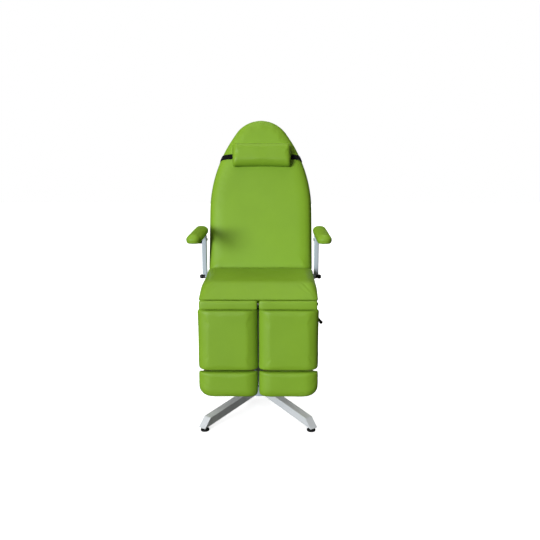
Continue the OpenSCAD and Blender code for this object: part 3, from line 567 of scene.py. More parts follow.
FACING = Matrix.Rotation(pi / 2, 4, "X")
COVER = 0.0012


def arc(cx, cy, radius, start, turn, step):
    """Points on an arc, about one step apart, without its last point."""
    count = max(3, int(abs(radius * turn) / step))
    angles = [start + turn * i / count for i in range(count)]
    return [(cx + radius * cos(a), cy + radius * sin(a)) for a in angles]


def straight(a, b, step):
    count = max(1, int(dist(a, b) / step))
    return [(a[0] + (b[0] - a[0]) * i / count, a[1] + (b[1] - a[1]) * i / count) for i in range(count)]


def rounded_outline(w, h, radii, step=0.006):
    """A rectangle centred on the origin with radii [right top, left top, left low, right low]."""
    quarter = pi / 2
    centres = [(w / 2 - radii[0], h / 2 - radii[0]), (radii[1] - w / 2, h / 2 - radii[1]),
               (radii[2] - w / 2, radii[2] - h / 2), (w / 2 - radii[3], radii[3] - h / 2)]

    def corner(which, turns):
        (cx, cy), r = centres[which % 4], radii[which % 4]
        return cx + r * cos(quarter * turns), cy + r * sin(quarter * turns)

    points = []
    for i, (cx, cy) in enumerate(centres):
        points += arc(cx, cy, radii[i], quarter * i, quarter, step)
        points += straight(corner(i, i + 1), corner(i + 1, i + 1), step)
    return points


def back_outline():
    """The backrest's egg outline, x across and y along the back."""
    half, low, run, length, side_r, nose_r, corner = 0.303, -0.006, 0.355, 0.91, 0.82, 0.185, 0.016
    step = 0.008
    nose_s = length - nose_r
    angle = atan2(nose_s - run, side_r - half)
    right = arc(half - corner, low + corner, corner, -pi / 2, pi / 2, step)
    right += straight((half, low + corner), (half, run), step)
    right += arc(half - side_r, run, side_r, 0, angle, step)
    right += arc(0, nose_s, nose_r, angle, pi / 2 - angle, step)
    left = [(-x, y) for x, y in reversed(right)]
    bottom = straight((-(half - corner), low), (half - corner, low), step)
    return right + [(0, length)] + left + bottom[1:]


def nearest_on(points, outline):
    """The nearest place on a closed outline, and its distance, less than nothing inside."""
    a = np.array(outline)
    b = np.roll(a, -1, axis=0)
    best = np.full(len(points), 1e9)
    place = np.zeros((len(points), 2))
    crossings = np.zeros(len(points), int)
    x, y = points[:, 0], points[:, 1]
    for p, q in zip(a, b):
        d = q - p
        length = d @ d
        if length < 1e-14:
            continue
        t = np.clip(((points - p) @ d) / length, 0, 1)
        foot = p + t[:, None] * d
        far = np.linalg.norm(points - foot, axis=1)
        closer = far < best
        best[closer] = far[closer]
        place[closer] = foot[closer]
        if p[1] != q[1]:
            passes = (p[1] > y) != (q[1] > y)
            crossings += passes & (x < (q[0] - p[0]) * (y - p[1]) / (q[1] - p[1]) + p[0])
    return place, np.where(crossings % 2 == 1, -best, best)


def inset_outline(outline, distance):
    """The outline moved inwards."""
    pts = np.array(outline)
    ahead = np.roll(pts, -1, axis=0) - np.roll(pts, 1, axis=0)
    ahead /= np.linalg.norm(ahead, axis=1)[:, None]
    return pts + distance * np.stack([-ahead[:, 1], ahead[:, 0]], axis=1)


def inset_row(outline, inset):
    """The outline moved inwards, and kept from crossing itself at its corners."""
    base = np.array(outline)
    return np.clip(inset_outline(base, inset), base.min(axis=0) + inset, base.max(axis=0) - inset)


def stuff(obj, fixed, swell):
    """Swells a closed cover with Blender's cloth, held below the height fixed, by no more than swell."""
    before = points_of(obj)
    held = obj.vertex_groups.new(name="held")
    held.add([int(i) for i in np.nonzero(before[:, 2] < fixed)[0]], 1.0, "REPLACE")
    only(obj)
    cloth = obj.modifiers.new("Stuffing", "CLOTH")
    wanted = {
        "quality": 4, "mass": 0.3, "tension_stiffness": 15, "compression_stiffness": 15, "shear_stiffness": 5,
        "bending_stiffness": 0.5, "use_pressure": True, "vertex_group_mass": "held",
        "uniform_pressure_force": bpy.context.scene.chair_upholstery.pressure,
    }
    change(cloth.settings, wanted)
    cloth.settings.effector_weights.gravity = 0.0
    cloth.collision_settings.use_collision = False
    last = 20
    cloth.point_cache.frame_start, cloth.point_cache.frame_end = 1, last
    for step in range(1, last + 1):
        bpy.context.scene.frame_set(step)
    bpy.ops.object.modifier_apply(modifier=cloth.name)
    bpy.context.scene.frame_set(1)
    move = points_of(obj) - before
    length = np.linalg.norm(move, axis=1)
    if not np.isfinite(length).all():
        raise RuntimeError(f"the stuffing of {obj.name} failed")
    limit = swell * np.tanh(length / swell) / np.maximum(length, 1e-9)
    set_points(obj, before + move * limit[:, None])
    obj.vertex_groups.clear()
    return obj


def hold_in(obj, outline, thickness):
    """Presses a swollen cushion back into the room that its neighbours leave it."""
    co = points_of(obj)
    place, distance = nearest_on(co[:, :2], outline)
    near = distance > -8 * COVER
    wanted = -COVER * np.logaddexp(0, -distance / COVER)
    away = (co[:, :2] - place) / np.where(np.abs(distance) < 1e-9, 1e-9, distance)[:, None]
    co[near, :2] = (place + away * wanted[:, None])[near]
    co[:, 2] = thickness - COVER * np.logaddexp(0, (thickness - co[:, 2]) / COVER)
    co[:, 2] = np.maximum(co[:, 2], 0)
    set_points(obj, co)
    return obj


def roll(distance, reach, depth, thickness):
    """Share of its full height that a stuffed edge has: it drops by depth, rounded over its reach."""
    u = np.clip(distance / reach, 0, 1)
    return 1 - depth / thickness * (1 - np.sqrt(np.clip(1 - (1 - u) ** 2, 0, 1)))


def spans(points, outline):
    """Distances across to the outline's right, left, top and low side."""
    pts = np.array(outline)
    sides = []
    for axis, keep in ((0, 1), (0, -1), (1, 1), (1, -1)):
        other = 1 - axis
        part = pts[pts[:, axis] * keep >= 0]
        part = part[np.lexsort((part[:, axis] * keep, part[:, other]))]
        reach = np.interp(points[:, other], part[:, other], part[:, axis] * keep)
        sides.append(np.clip(reach - points[:, axis] * keep, 0, None))
    return sides


def rolled(outline, thickness, sides, top, low):
    """The form of a cushion whose edges roll off by pairs of [reach, depth]."""
    def form(co):
        right, left, above, below = spans(co, outline)
        across = roll(np.minimum(right, left), *sides, thickness)
        return across * roll(above, *top, thickness) * roll(below, *low, thickness)
    return form


def cover(name, outline, thickness, form, swell, draw=0.003, voxel=None):
    """A stuffed cushion on an outline, flat on its board at z 0, its top shaped by the function form.

    Near its foot the cover is drawn in by draw.
    """
    drawn_share, held_share, proud = 0.25, 0.1, 0.001
    voxel = voxel or bpy.context.scene.chair_upholstery.voxel
    small = np.array(outline)
    outline = inset_outline(outline, -COVER)
    deselect()
    bpy.ops.mesh.primitive_circle_add(vertices=len(small), radius=1, fill_type="NGON")
    obj = named(name)
    set_points(obj, np.column_stack([small, np.zeros(len(small))]))
    bpy.ops.object.mode_set(mode="EDIT")
    bpy.ops.mesh.select_all(action="SELECT")
    bpy.ops.mesh.extrude_region_move(TRANSFORM_OT_translate={"value": (0, 0, thickness)})
    bpy.ops.mesh.select_all(action="SELECT")
    bpy.ops.mesh.normals_make_consistent(inside=False)
    bpy.ops.object.mode_set(mode="OBJECT")
    apply_modifier(obj, "REMESH", mode="VOXEL", voxel_size=voxel)
    co = points_of(obj)
    co[:, 2] *= form(co)
    set_points(obj, co)
    apply_modifier(obj, "REMESH", mode="VOXEL", voxel_size=voxel)
    apply_modifier(obj, "SMOOTH", factor=0.5, iterations=3)
    co = points_of(obj)
    pinch = np.clip(1 - co[:, 2] / (thickness * drawn_share), 0, 1) ** 2
    half = np.abs(np.array(outline)).max(axis=0)
    co[:, :2] *= 1 - pinch[:, None] * draw / half
    set_points(obj, co)
    stuff(obj, thickness * held_share, swell)
    return hold_in(obj, outline, thickness + proud)


def dimple(obj, size, depth, seed):
    """Soft unevenness of foam under its cover."""
    co = points_of(obj)
    amount = np.array([noise.noise(Vector(p) / size + Vector((seed, 0, 0))) for p in co])
    set_points(obj, co + points_of(obj, "normal") * (amount * depth)[:, None])
    return obj


def pucker(obj, outline, depth, wavelength, height, seed):
    """Small gathers at the foot of a cushion's side, where the cover is pulled over its board."""
    reach, per_metre, twist = 0.012, 9, 6
    co = points_of(obj)
    out = np.array(outline)
    around = np.abs(np.roll(out, -1, axis=0) - out).sum()
    near = np.clip(1 - np.abs(nearest_on(co[:, :2], outline)[1]) / reach, 0, 1)
    low = np.clip(1 - co[:, 2] / height, 0, 1)
    phase = np.arctan2(co[:, 1], co[:, 0]) * around / wavelength
    wobble = np.array([noise.noise(Vector((p[0] * per_metre, p[1] * per_metre, seed))) for p in co])
    push = depth * near * low * np.sin(phase + wobble * twist)
    flat = co[:, :2] / np.maximum(np.linalg.norm(co[:, :2], axis=1), 1e-6)[:, None]
    co[:, :2] += flat * push[:, None]
    set_points(obj, co)
    return obj


def upholster(obj, body, node):
    """Gives a cushion its cover's material and its body, and hides its node."""
    finish(obj, "vinyl", body, "vinyl", node)
    return obj


def finish_cushion(obj, place, body, node):
    apply_modifier(obj, "SUBSURF", levels=1, render_levels=1)
    return upholster(smooth(settle(obj, place)), body, node)


def wrap_rows(board, inset, width=0.026):
    """Rows of a hem from a cushion's lower side, round a board of that thickness and inset, over its back."""
    return [(0.0025, 0.007), (0.0035, 0.002), (0.4 * inset, -0.25 * board), (inset - 0.002, -0.8 * board),
            (inset + 0.0005, -board - 0.0008), (inset + 0.004, -board - 0.0014),
            (inset + width, -board - 0.0012), (inset + width + 0.0004, -board)]


def hem(name, outline, insets, place, body, seed):
    """The edge of the cover, turned over the back of the board and stapled down.

    The rows are [inset from the outline, height], the board's front face being at height 0.
    """
    size, depth, even_to, thickness = 0.02, 0.0007, 0.01, 0.0008
    from_edge, sunk = 0.009, 0.0012
    points = []
    for inset, height in insets:
        for x, y in inset_row(outline, inset):
            gather = noise.noise(Vector((x / size, y / size, seed)))
            points.append((x, y, height + depth * gather * (inset > even_to)))
    obj = new_piece(name, points, ring_faces(len(insets), len(outline)))
    apply_modifier(obj, "SOLIDIFY", thickness=thickness, offset=0.0)
    finish(smooth(settle(obj, place), 50), "vinyl", body, "vinyl")
    row = inset_row(outline, insets[-1][0] - from_edge)
    staples(name.replace("hem", "staples"), row, insets[-1][1] - sunk, place, body)


def staples(name, row, height, place, body):
    """Flat wire staples along a closed row, a spacing apart.

    Each has two rings of points, given by half their length, half their width and their rise.
    """
    spacing = 0.028
    rings = ((0.005, 0.0006, 0.0006), (0.0047, 0.0003, 0))
    points, faces = [], []
    since = spacing
    for a, b in zip(row, np.roll(row, -1, axis=0)):
        step = float(np.linalg.norm(b - a))
        since += step
        if since < spacing or step < 1e-6:
            continue
        since = 0.0
        d = (b - a) / step
        side = np.array([-d[1], d[0]])
        base = len(points)
        for half_length, half_width, rise in rings:
            for u, v in ((-1, -1), (1, -1), (1, 1), (-1, 1)):
                points.append((*(a + d * u * half_length + side * v * half_width), height + rise))
        faces += [(base + 4, base + 5, base + 6, base + 7), (base, base + 3, base + 2, base + 1)]
        faces += [(base + k, base + (k + 1) % 4, base + 4 + (k + 1) % 4, base + 4 + k) for k in range(4)]
    finish(smooth(settle(new_piece(name, points, faces), place), 30), "steel", body, "steel")


def mirrored(obj, name):
    """A copy of a piece on the other side, with its own mesh."""
    only(obj)
    bpy.ops.object.duplicate(linked=False)
    twin = named(name)
    twin.parent = None
    for key in list(twin.keys()):
        if key.startswith("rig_"):
            del twin[key]
    twin.matrix_world = Matrix.Identity(4)
    co = points_of(twin)
    co[:, 0] *= -1
    set_points(twin, co)
    twin.data.flip_normals()
    return twin


def both_hems(name, outline, rows, stand, body, seed):
    """A hem on each side, the left one mirrored. The function stand gives its place from a sign."""
    for side, sign in SIDES:
        shape = outline if sign > 0 else [(-x, y) for x, y in reversed(outline)]
        hem(f"{name}_{side}", shape, rows, stand(sign), f"{body}_{side}", seed + sign)


def on_back():
    """The backrest's own frame: its face at y 0, z up along it."""
    sizes = bpy.context.scene.chair_upholstery
    return (Matrix.Translation((0, COLUMN_Y + sizes.back_face, sizes.seat_top))
            @ Matrix.Rotation(-sizes.back_tilt, 4, "X"))


def hull(points):
    """The convex outline round some flat points, turning left."""
    points = sorted(set(map(tuple, points)))
    ends = []
    for order in (points, points[::-1]):
        chain = []
        for p in order:
            while len(chain) > 1 and ((chain[-1][0] - chain[-2][0]) * (p[1] - chain[-2][1])
                                      - (chain[-1][1] - chain[-2][1]) * (p[0] - chain[-2][0])) <= 0:
                chain.pop()
            chain.append(p)
        ends += chain[:-1]
    return np.array(ends)


def strap_round(name, cushion, body):
    """An elastic strap pulled round the backrest's cushion and board."""
    low, high, rows, count = 0.6525, 0.6835, 7, 220
    board_inset, board_back, board_front = 0.014, 0.0725, 0.05
    weave, slice_half, thickness = 260, 0.005, 0.0015
    local = np.array(on_back().inverted())
    co = points_of(cushion) @ local[:3, :3].T + local[:3, 3]
    edge = np.array(sorted((y, x) for x, y in back_outline() if x > 0.05 and y > 0.3)).T
    points = []
    for j in range(rows):
        s = low + (high - low) * j / (rows - 1)
        near = co[np.abs(co[:, 2] - s) < slice_half][:, :2]
        half = float(np.interp(s, *edge)) - board_inset
        board = [(half, board_back), (-half, board_back), (half, board_front), (-half, board_front)]
        loop = inset_outline(hull(np.vstack([near, board])), -COVER)
        ring = np.vstack([loop, loop[:1]])
        run = np.concatenate([[0], np.cumsum(np.linalg.norm(np.diff(ring, axis=0), axis=1))])
        first = run[int(np.argmax(loop[:, 1] - np.abs(loop[:, 0])))]
        at = (np.arange(count) / count * run[-1] + first) % run[-1]
        x, t = np.interp(at, run, ring[:, 0]), np.interp(at, run, ring[:, 1])
        points += [(x[k], t[k], s) for k in range(count)]
    obj = new_piece(name, points, ring_faces(rows, count))
    layer = obj.data.uv_layers.new(name="Weave")
    for loop in obj.data.loops:
        corner = obj.data.vertices[loop.vertex_index].co
        layer.data[loop.index].uv = ((corner.x + corner.y) * weave, corner.z * weave)
    apply_modifier(obj, "SOLIDIFY", thickness=thickness, offset=1.0)
    return finish(smooth(settle(obj, on_back()), 40), "elastic", body, "elastic", "pillow_strap")


class CHAIR_OT_seat_upholstery(Operator):
    """Make the seat cushion"""

    bl_idname = "chair.seat_upholstery"
    bl_label = "Seat Cushion"

    WIDER, LONGER, THICKER = 0.008, 0.004, 0.008
    RADII = [0.01, 0.01, 0.022, 0.022]
    REAR_EDGE, FRONT_EDGE = (0.012, 0.005), (0.02, 0.012)
    SIDE_REACH, SIDE_DEPTH, SIDE_RISE, RISE_REACH = 0.06, 0.036, 0.022, 0.12
    FALL_REACH, FALL_BEND, FALL_SLOPE = 0.108, 0.026, 0.63

    def execute(self, context):
        lo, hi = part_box("seat_cushion")
        w, l, t = hi.x - lo.x + self.WIDER, hi.y - lo.y + self.LONGER, hi.z - lo.z + self.THICKER
        outline = rounded_outline(w, l, self.RADII, step=0.008)

        def form(co):
            right, left, rear, front = spans(co, outline)
            beyond = self.FALL_REACH - front
            fall = self.FALL_SLOPE * (np.sqrt(beyond ** 2 + self.FALL_BEND ** 2) + beyond) / 2
            depth = self.SIDE_DEPTH - self.SIDE_RISE * np.clip(1 - rear / self.RISE_REACH, 0, 1)
            across = roll(np.minimum(right, left), self.SIDE_REACH, depth, t)
            return across * roll(rear, *self.REAR_EDGE, t) * roll(front, *self.FRONT_EDGE, t) * (1 - fall / t)

        obj = cover("seat_upholstery", outline, t, form, swell=0.002, draw=0.001)
        dimple(obj, size=0.16, depth=0.0012, seed=3)
        pucker(obj, outline, depth=0.0008, wavelength=0.035, height=0.03, seed=1.0)
        place = Matrix.Translation(((lo.x + hi.x) / 2, (lo.y + hi.y + self.LONGER) / 2, lo.z))
        finish_cushion(obj, place, "chassis", "seat_cushion")
        hem("seat_hem", outline, wrap_rows(board=0.018, inset=0.018), place, "chassis", seed=5.0)
        return {"FINISHED"}


class CHAIR_OT_back_upholstery(Operator):
    """Make the backrest cushion"""

    bl_idname = "chair.back_upholstery"
    bl_label = "Backrest Cushion"

    THICKNESS = 0.06
    CROWN, LOW_EDGE = (0.062, 0.044), (0.012, 0.005)

    def execute(self, context):
        t = self.THICKNESS
        whole = np.array(back_outline())
        middle = (whole[:, 1].max() + whole[:, 1].min()) / 2
        outline = whole - [0, middle]
        endless = [(x, y if y > -0.3 else y - 0.2) for x, y in outline]

        def form(co):
            side = -nearest_on(co[:, :2], endless)[1]
            return roll(side, *self.CROWN, t) * roll(spans(co, outline)[3], *self.LOW_EDGE, t)

        obj = cover("back_upholstery", outline, t, form, swell=0.004, voxel=0.007)
        dimple(obj, size=0.2, depth=0.0014, seed=11)
        pucker(obj, outline, depth=0.0008, wavelength=0.035, height=0.025, seed=2.0)
        place = on_back() @ Matrix.Translation((0, t, middle)) @ FACING
        finish_cushion(obj, place, "backrest", "back_cushion")
        hem("back_hem", outline, wrap_rows(board=0.012, inset=0.014), place, "backrest", seed=9.0)
        return {"FINISHED"}


class CHAIR_OT_pillow(Operator):
    """Make the head pillow and its elastic strap"""

    bl_idname = "chair.pillow"
    bl_label = "Head Pillow"

    SIZE = (0.342, 0.14, 0.062)
    RADIUS = 0.011
    SIDES, TOP, LOW = (0.024, 0.026), (0.04, 0.028), (0.045, 0.038)
    LOW_EDGE_RISE = 0.006
    PLACE = (0.005, -0.0023, 0.671)

    def execute(self, context):
        w, h, t = self.SIZE
        outline = rounded_outline(w, h, [self.RADIUS] * 4)
        form = rolled(outline, t, self.SIDES, self.TOP, self.LOW)
        obj = cover("pillow_cover", outline, t, form, swell=0.003, draw=0.005, voxel=0.0045)
        dimple(obj, size=0.07, depth=0.0012, seed=21)
        co = points_of(obj)
        bowed = 1 - (co[:, 0] / (w / 2)) ** 2
        co[:, 1] += self.LOW_EDGE_RISE * bowed * np.clip(-co[:, 1] / (h / 2), 0, 1)
        set_points(obj, co)
        place = on_back() @ Matrix.Translation(self.PLACE) @ FACING
        finish_cushion(obj, place, "head_pillow", "head_pillow")
        strap_round("elastic_strap", bpy.data.objects["back_upholstery"], "head_pillow")
        return {"FINISHED"}


class CHAIR_OT_leg_upholstery(Operator):
    """Make the knee strips, calf pads and foot pads"""

    bl_idname = "chair.leg_upholstery"
    bl_label = "Leg Rest Cushions"

    # Name, node, body, corner radii, reach and depth of the roll at the sides, at the top and at the low
    # edge, mesh size, seed, how much wider and taller than the node, shift outwards and down, board wrapped
    PADS = (
        ("knee_strip", "knee_cushion", "leg_rest", [0.008, 0.008, 0.004, 0.004],
         ((0.04, 0.008), (0.012, 0.005), (0.012, 0.004)), 0.004, 31, -0.003, 0.002, -0.003, -0.002, False),
        ("calf_pad", "calf_cushion", "leg_rest", [0.014, 0.012, 0.008, 0.018],
         ((0.064, 0.042), (0.02, 0.007), (0.026, 0.009)), 0.006, 41, 0.0085, 0.002, 0.001, -0.001, True),
        ("foot_pad", "foot_cushion", "foot_rest", [0.008, 0.008, 0.020, 0.054],
         ((0.066, 0.041), (0.014, 0.005), (0.045, 0.024)), 0.005, 51, 0.0085, 0.0, 0.001, 0.006, True),
    )

    def execute(self, context):
        for name, node, body, radii, rolls, voxel, seed, wider, taller, out, down, wrapped in self.PADS:
            lo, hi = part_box(node + "_right")
            w, h, t = hi.x - lo.x, hi.z - lo.z, hi.y - lo.y
            outline = rounded_outline(w + wider, h + taller, radii)
            form = rolled(outline, t, *rolls)
            obj = cover(name + "_right", outline, t, form, swell=0.002, draw=0.0015, voxel=voxel)
            dimple(obj, size=0.1, depth=0.001, seed=seed)
            pucker(obj, outline, depth=0.0006, wavelength=0.03, height=0.02, seed=seed)
            centre = Vector(((lo.x + hi.x) / 2 + out, hi.y, (lo.z + hi.z) / 2 - down))

            def stand(sign):
                return Matrix.Translation((sign * centre.x, centre.y, centre.z)) @ FACING

            finish_cushion(obj, stand(1), body + "_right", node + "_right")
            upholster(mirrored(obj, name + "_left"), body + "_left", node + "_left")
            if wrapped:
                rows = wrap_rows(board=0.012, inset=0.015)
                both_hems(name + "_hem", outline, rows, stand, body, seed)
        return {"FINISHED"}


class CHAIR_OT_arm_upholstery(Operator):
    """Make the arm pads"""

    bl_idname = "chair.arm_upholstery"
    bl_label = "Arm Pads"

    WIDER = 0.002
    RADII = [0.02, 0.02, 0.036, 0.036]
    EDGE = (0.02, 0.014)
    CROWN_HEIGHT, CROWN_REACH = 0.42, 0.039

    def execute(self, context):
        lo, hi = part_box("arm_cushion_right")
        w, l, t = hi.x - lo.x, hi.y - lo.y, hi.z - lo.z
        outline = rounded_outline(w + self.WIDER, l, self.RADII)

        def form(co):
            side = -nearest_on(co[:, :2], outline)[1]
            crown = 1 - self.CROWN_HEIGHT * np.clip(1 - side / self.CROWN_REACH, 0, 1) ** 2
            return roll(side, *self.EDGE, t) * crown

        def stand(sign):
            return Matrix.Translation((sign * (lo.x + hi.x) / 2, (lo.y + hi.y) / 2, lo.z))

        obj = cover("arm_pad_right", outline, t, form, swell=0.003, draw=0.005, voxel=0.0045)
        dimple(obj, size=0.08, depth=0.0008, seed=61)
        finish_cushion(obj, stand(1), "arm_pad_right", "arm_cushion_right")
        upholster(mirrored(obj, "arm_pad_left"), "arm_pad_left", "arm_cushion_left")
        rows = wrap_rows(board=0.006, inset=0.0095, width=0.012)
        both_hems("arm_hem", outline, rows, stand, "arm_pad", seed=70.0)
        return {"FINISHED"}


# Hardware


class CHAIR_OT_base(Operator):
    """Finish the base, its legs and its levelling feet"""

    bl_idname = "chair.base"
    bl_label = "Base"

    LEG_HALF, LEG_LOW, LEG_HIGH = 0.0205, 0.0602, 0.0992
    BEAD_OUT, BEAD_STEPS = 0.0008, 6
    NUT_RADIUS, NUT_DEPTH, NUT_HEIGHT = 0.0105, 0.0078, 0.0158
    THREAD_FOOT, THREAD_START, THREAD_TURNS, PITCH = (0.006, 0.0118), 0.0122, 16, 0.00135
    CREST, GROOVE, GROOVE_RISE, TIP_RISE = 0.0059, 0.0051, 0.00065, 0.0005
    RUBBER = [
        (0, 0.0006), (0.012, 0.0006), (0.0125, 0), (0.0195, 0), (0.0212, 0.0008), (0.022, 0.0024),
        (0.0221, 0.0046), (0.0216, 0.0052), (0.0216, 0.0058), (0.022, 0.0064), (0.0215, 0.0082),
        (0.0195, 0.0098), (0.0165, 0.0108), (0.0135, 0.0116), (0.0132, 0.0121), (0, 0.0121),
    ]

    def execute(self, context):
        softened("base_hub", 0.0012, "silver", "base_paint")
        softened("column", 0.0012, "silver", "base_paint")
        softened("front_legs", 0.0016, "legs", "leg_paint")
        softened("rear_legs", 0.0016, "legs", "leg_paint")
        self.welds()
        for end in ("front", "rear"):
            for side, _ in SIDES:
                self.levelling_foot(f"{end}_{side}")
        return {"FINISHED"}

    def welds(self):
        """Beads round the four legs where they meet the hub."""
        lo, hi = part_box("base_hub")
        radius = (hi.x - lo.x) / 2
        lo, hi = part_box("levelling_foot_front_right")
        turn = atan2(COLUMN_Y - (lo.y + hi.y) / 2, (lo.x + hi.x) / 2)
        half, low, high = self.LEG_HALF, self.LEG_LOW, self.LEG_HIGH
        corners = [(-half, low), (half, low), (half, high), (-half, high)]
        legs = (("front_right", -turn), ("front_left", pi + turn), ("rear_right", turn),
                ("rear_left", pi - turn))
        for name, angle in legs:
            path = []
            for (a, b), (c, d) in zip(corners, corners[1:] + corners[:1]):
                for i in range(self.BEAD_STEPS):
                    across, up = a + (c - a) * i / self.BEAD_STEPS, b + (d - b) * i / self.BEAD_STEPS
                    out = sqrt((radius + self.BEAD_OUT) ** 2 - across ** 2)
                    spot = Matrix.Rotation(angle, 3, "Z") @ Vector((out, across, up))
                    path.append(spot + Vector((0, COLUMN_Y, 0)))
            finish(weld_bead("weld_" + name, path), "legs", "chassis", "leg_paint")

    def levelling_foot(self, which):
        """A rubber pad under a threaded stud with its jam nut."""
        node = "levelling_foot_" + which
        lo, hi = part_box(node)
        place = Matrix.Translation(((lo.x + hi.x) / 2, (lo.y + hi.y) / 2, 0))
        pad = turned("foot_rubber_" + which, self.RUBBER, 48, place=place)
        finish(pad, "rubber", BODY_OF[node], "rubber_foot", node)
        deselect()
        bpy.ops.mesh.primitive_cylinder_add(vertices=6, radius=self.NUT_RADIUS, depth=self.NUT_DEPTH,
                                            location=(0, 0, self.NUT_HEIGHT))
        nut = break_edges(settle(named("foot_nut_" + which)), 0.0008, 80)
        thread = [(0, self.THREAD_FOOT[1]), self.THREAD_FOOT]
        for i in range(self.THREAD_TURNS):
            z = self.THREAD_START + self.PITCH * i
            thread += [(self.CREST, z), (self.GROOVE, z + self.GROOVE_RISE)]
        thread += [(0, thread[-1][1] + self.TIP_RISE)]
        stud = turned("foot_stud_" + which, thread, 28)
        only(nut)
        stud.select_set(True)
        bpy.ops.object.join()
        finish(smooth(settle(nut, place), 30), "dark_steel", BODY_OF[node], "rubber_foot")


class CHAIR_OT_seat_structure(Softens, Operator):
    """Finish the frame under the seat, its board, bolts, shafts and bushes"""

    bl_idname = "chair.seat_structure"
    bl_label = "Seat Structure"

    PARTS = (
        ("seat_carrier", 0.0012, "frame", "frame_paint"),
        ("seat_frame", 0.0012, "frame", "frame_paint"),
        ("seat_board", 0.0015, "ply_flat", "plywood"),
        ("seat_bolts", 0.0008, "black_metal", "black_metal"),
        ("hinge_shaft", 0.0006, "steel", "steel"),
    )
    PAINTED = (("knee_shaft", "steel"), ("hinge_bushes", "brass"))


class CHAIR_OT_back_structure(Softens, Operator):
    """Finish the backrest's frame, board, screws and release lever"""

    bl_idname = "chair.back_structure"
    bl_label = "Backrest Structure"

    PARTS = (
        ("back_frame", 0.0011, "silver", "silver_paint"),
        ("back_board", 0.0015, "ply_leaning", "plywood"),
        ("back_screws", 0.0008, "black_metal", "black_metal"),
        ("back_release_lever", 0.0012, "black", "black_plastic"),
    )


class CHAIR_OT_leg_structure(Softens, Operator):
    """Finish the leg rests' frames, boards, slides and clamps"""

    bl_idname = "chair.leg_structure"
    bl_label = "Leg Rest Structure"

    PARTS = [row for side, _ in SIDES for row in (
        ("leg_frame_" + side, 0.0009, "silver", "silver_paint"),
        ("foot_slide_" + side, 0.0009, "steel", "steel"),
        ("calf_board_" + side, 0.0015, "ply_upright", "plywood"),
        ("foot_board_" + side, 0.0015, "ply_upright", "plywood"),
        ("foot_clamp_" + side, 0.0009, "black", "black_plastic"),
    )]


class CHAIR_OT_arm_hardware(Operator):
    """Finish the armrest posts, carriers, bolts and clamps"""

    bl_idname = "chair.arm_hardware"
    bl_label = "Armrest Hardware"

    COLLAR = [
        (0.0073, 0), (0.0102, 0), (0.0106, 0.0006), (0.0106, 0.0075), (0.0102, 0.0085), (0.0098, 0.0092),
        (0.0098, 0.0105), (0.0073, 0.0105), (0.0073, 0),
    ]
    KNOB = [
        (0, 0.0095), (0.0098, 0.0095), (0.0112, 0.0102), (0.012, 0.0126), (0.0126, 0.0172),
        (0.0126, 0.0226), (0.0118, 0.0272),
    ]
    # Radii of the knob's end, each with its distance from the outer face
    KNOB_END = [(0.0098, 0.002), (0.006, 0.0004), (0.0028, 0), (0, 0)]

    def execute(self, context):
        for side, sign in SIDES:
            softened("arm_post_" + side, 0.001, "silver", "silver_paint")
            softened("arm_bolt_" + side, 0.0008, "steel", "steel")
            softened("arm_carrier_" + side, 0.0015, "black", "black_plastic")
            paint("arm_board_" + side, "black")
            self.knob("arm_clamp_" + side, sign)
        return {"FINISHED"}

    def knob(self, node, sign):
        """A domed, lobed knob on a collar, at the outer end of the armrest's barrel."""
        lo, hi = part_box(node)
        length = hi.x - lo.x
        start = Vector((lo.x if sign > 0 else hi.x, (lo.y + hi.y) / 2, (lo.z + hi.z) / 2))
        outwards = Vector((0, 0, 1)).rotation_difference(Vector((sign, 0, 0))).to_matrix().to_4x4()
        place = Matrix.Translation(start) @ outwards
        collar = turned(node + "_collar", self.COLLAR, 40, place=place)
        finish(collar, "black", BODY_OF[node], "black_plastic")
        profile = self.KNOB + [(radius, length - back) for radius, back in self.KNOB_END]
        cap = turned(node + "_knob", profile, 60, lobes=6, depth=0.04, place=place)
        finish(cap, "black", BODY_OF[node], "black_plastic", node)


class CHAIR_OT_gas_springs(Softens, Operator):
    """Finish the three gas springs"""

    bl_idname = "chair.gas_springs"
    bl_label = "Gas Springs"

    PARTS = [row for spring, end in (("back", ""), ("leg", "_left"), ("leg", "_right")) for row in (
        (f"{spring}_spring_body{end}", 0.0012, "black_metal", "black_metal"),
        (f"{spring}_spring_rod{end}", 0.0006, "steel", "steel"),
    )]


class CHAIR_OT_levers(Softens, Operator):
    """Finish the two release levers on the right-hand side"""

    bl_idname = "chair.levers"
    bl_label = "Release Levers"

    PARTS = (
        ("ball_lever", 0.0006, "black", "black_plastic"),
        ("grip_lever", 0.0006, "black", "black_plastic"),
    )


# Stage


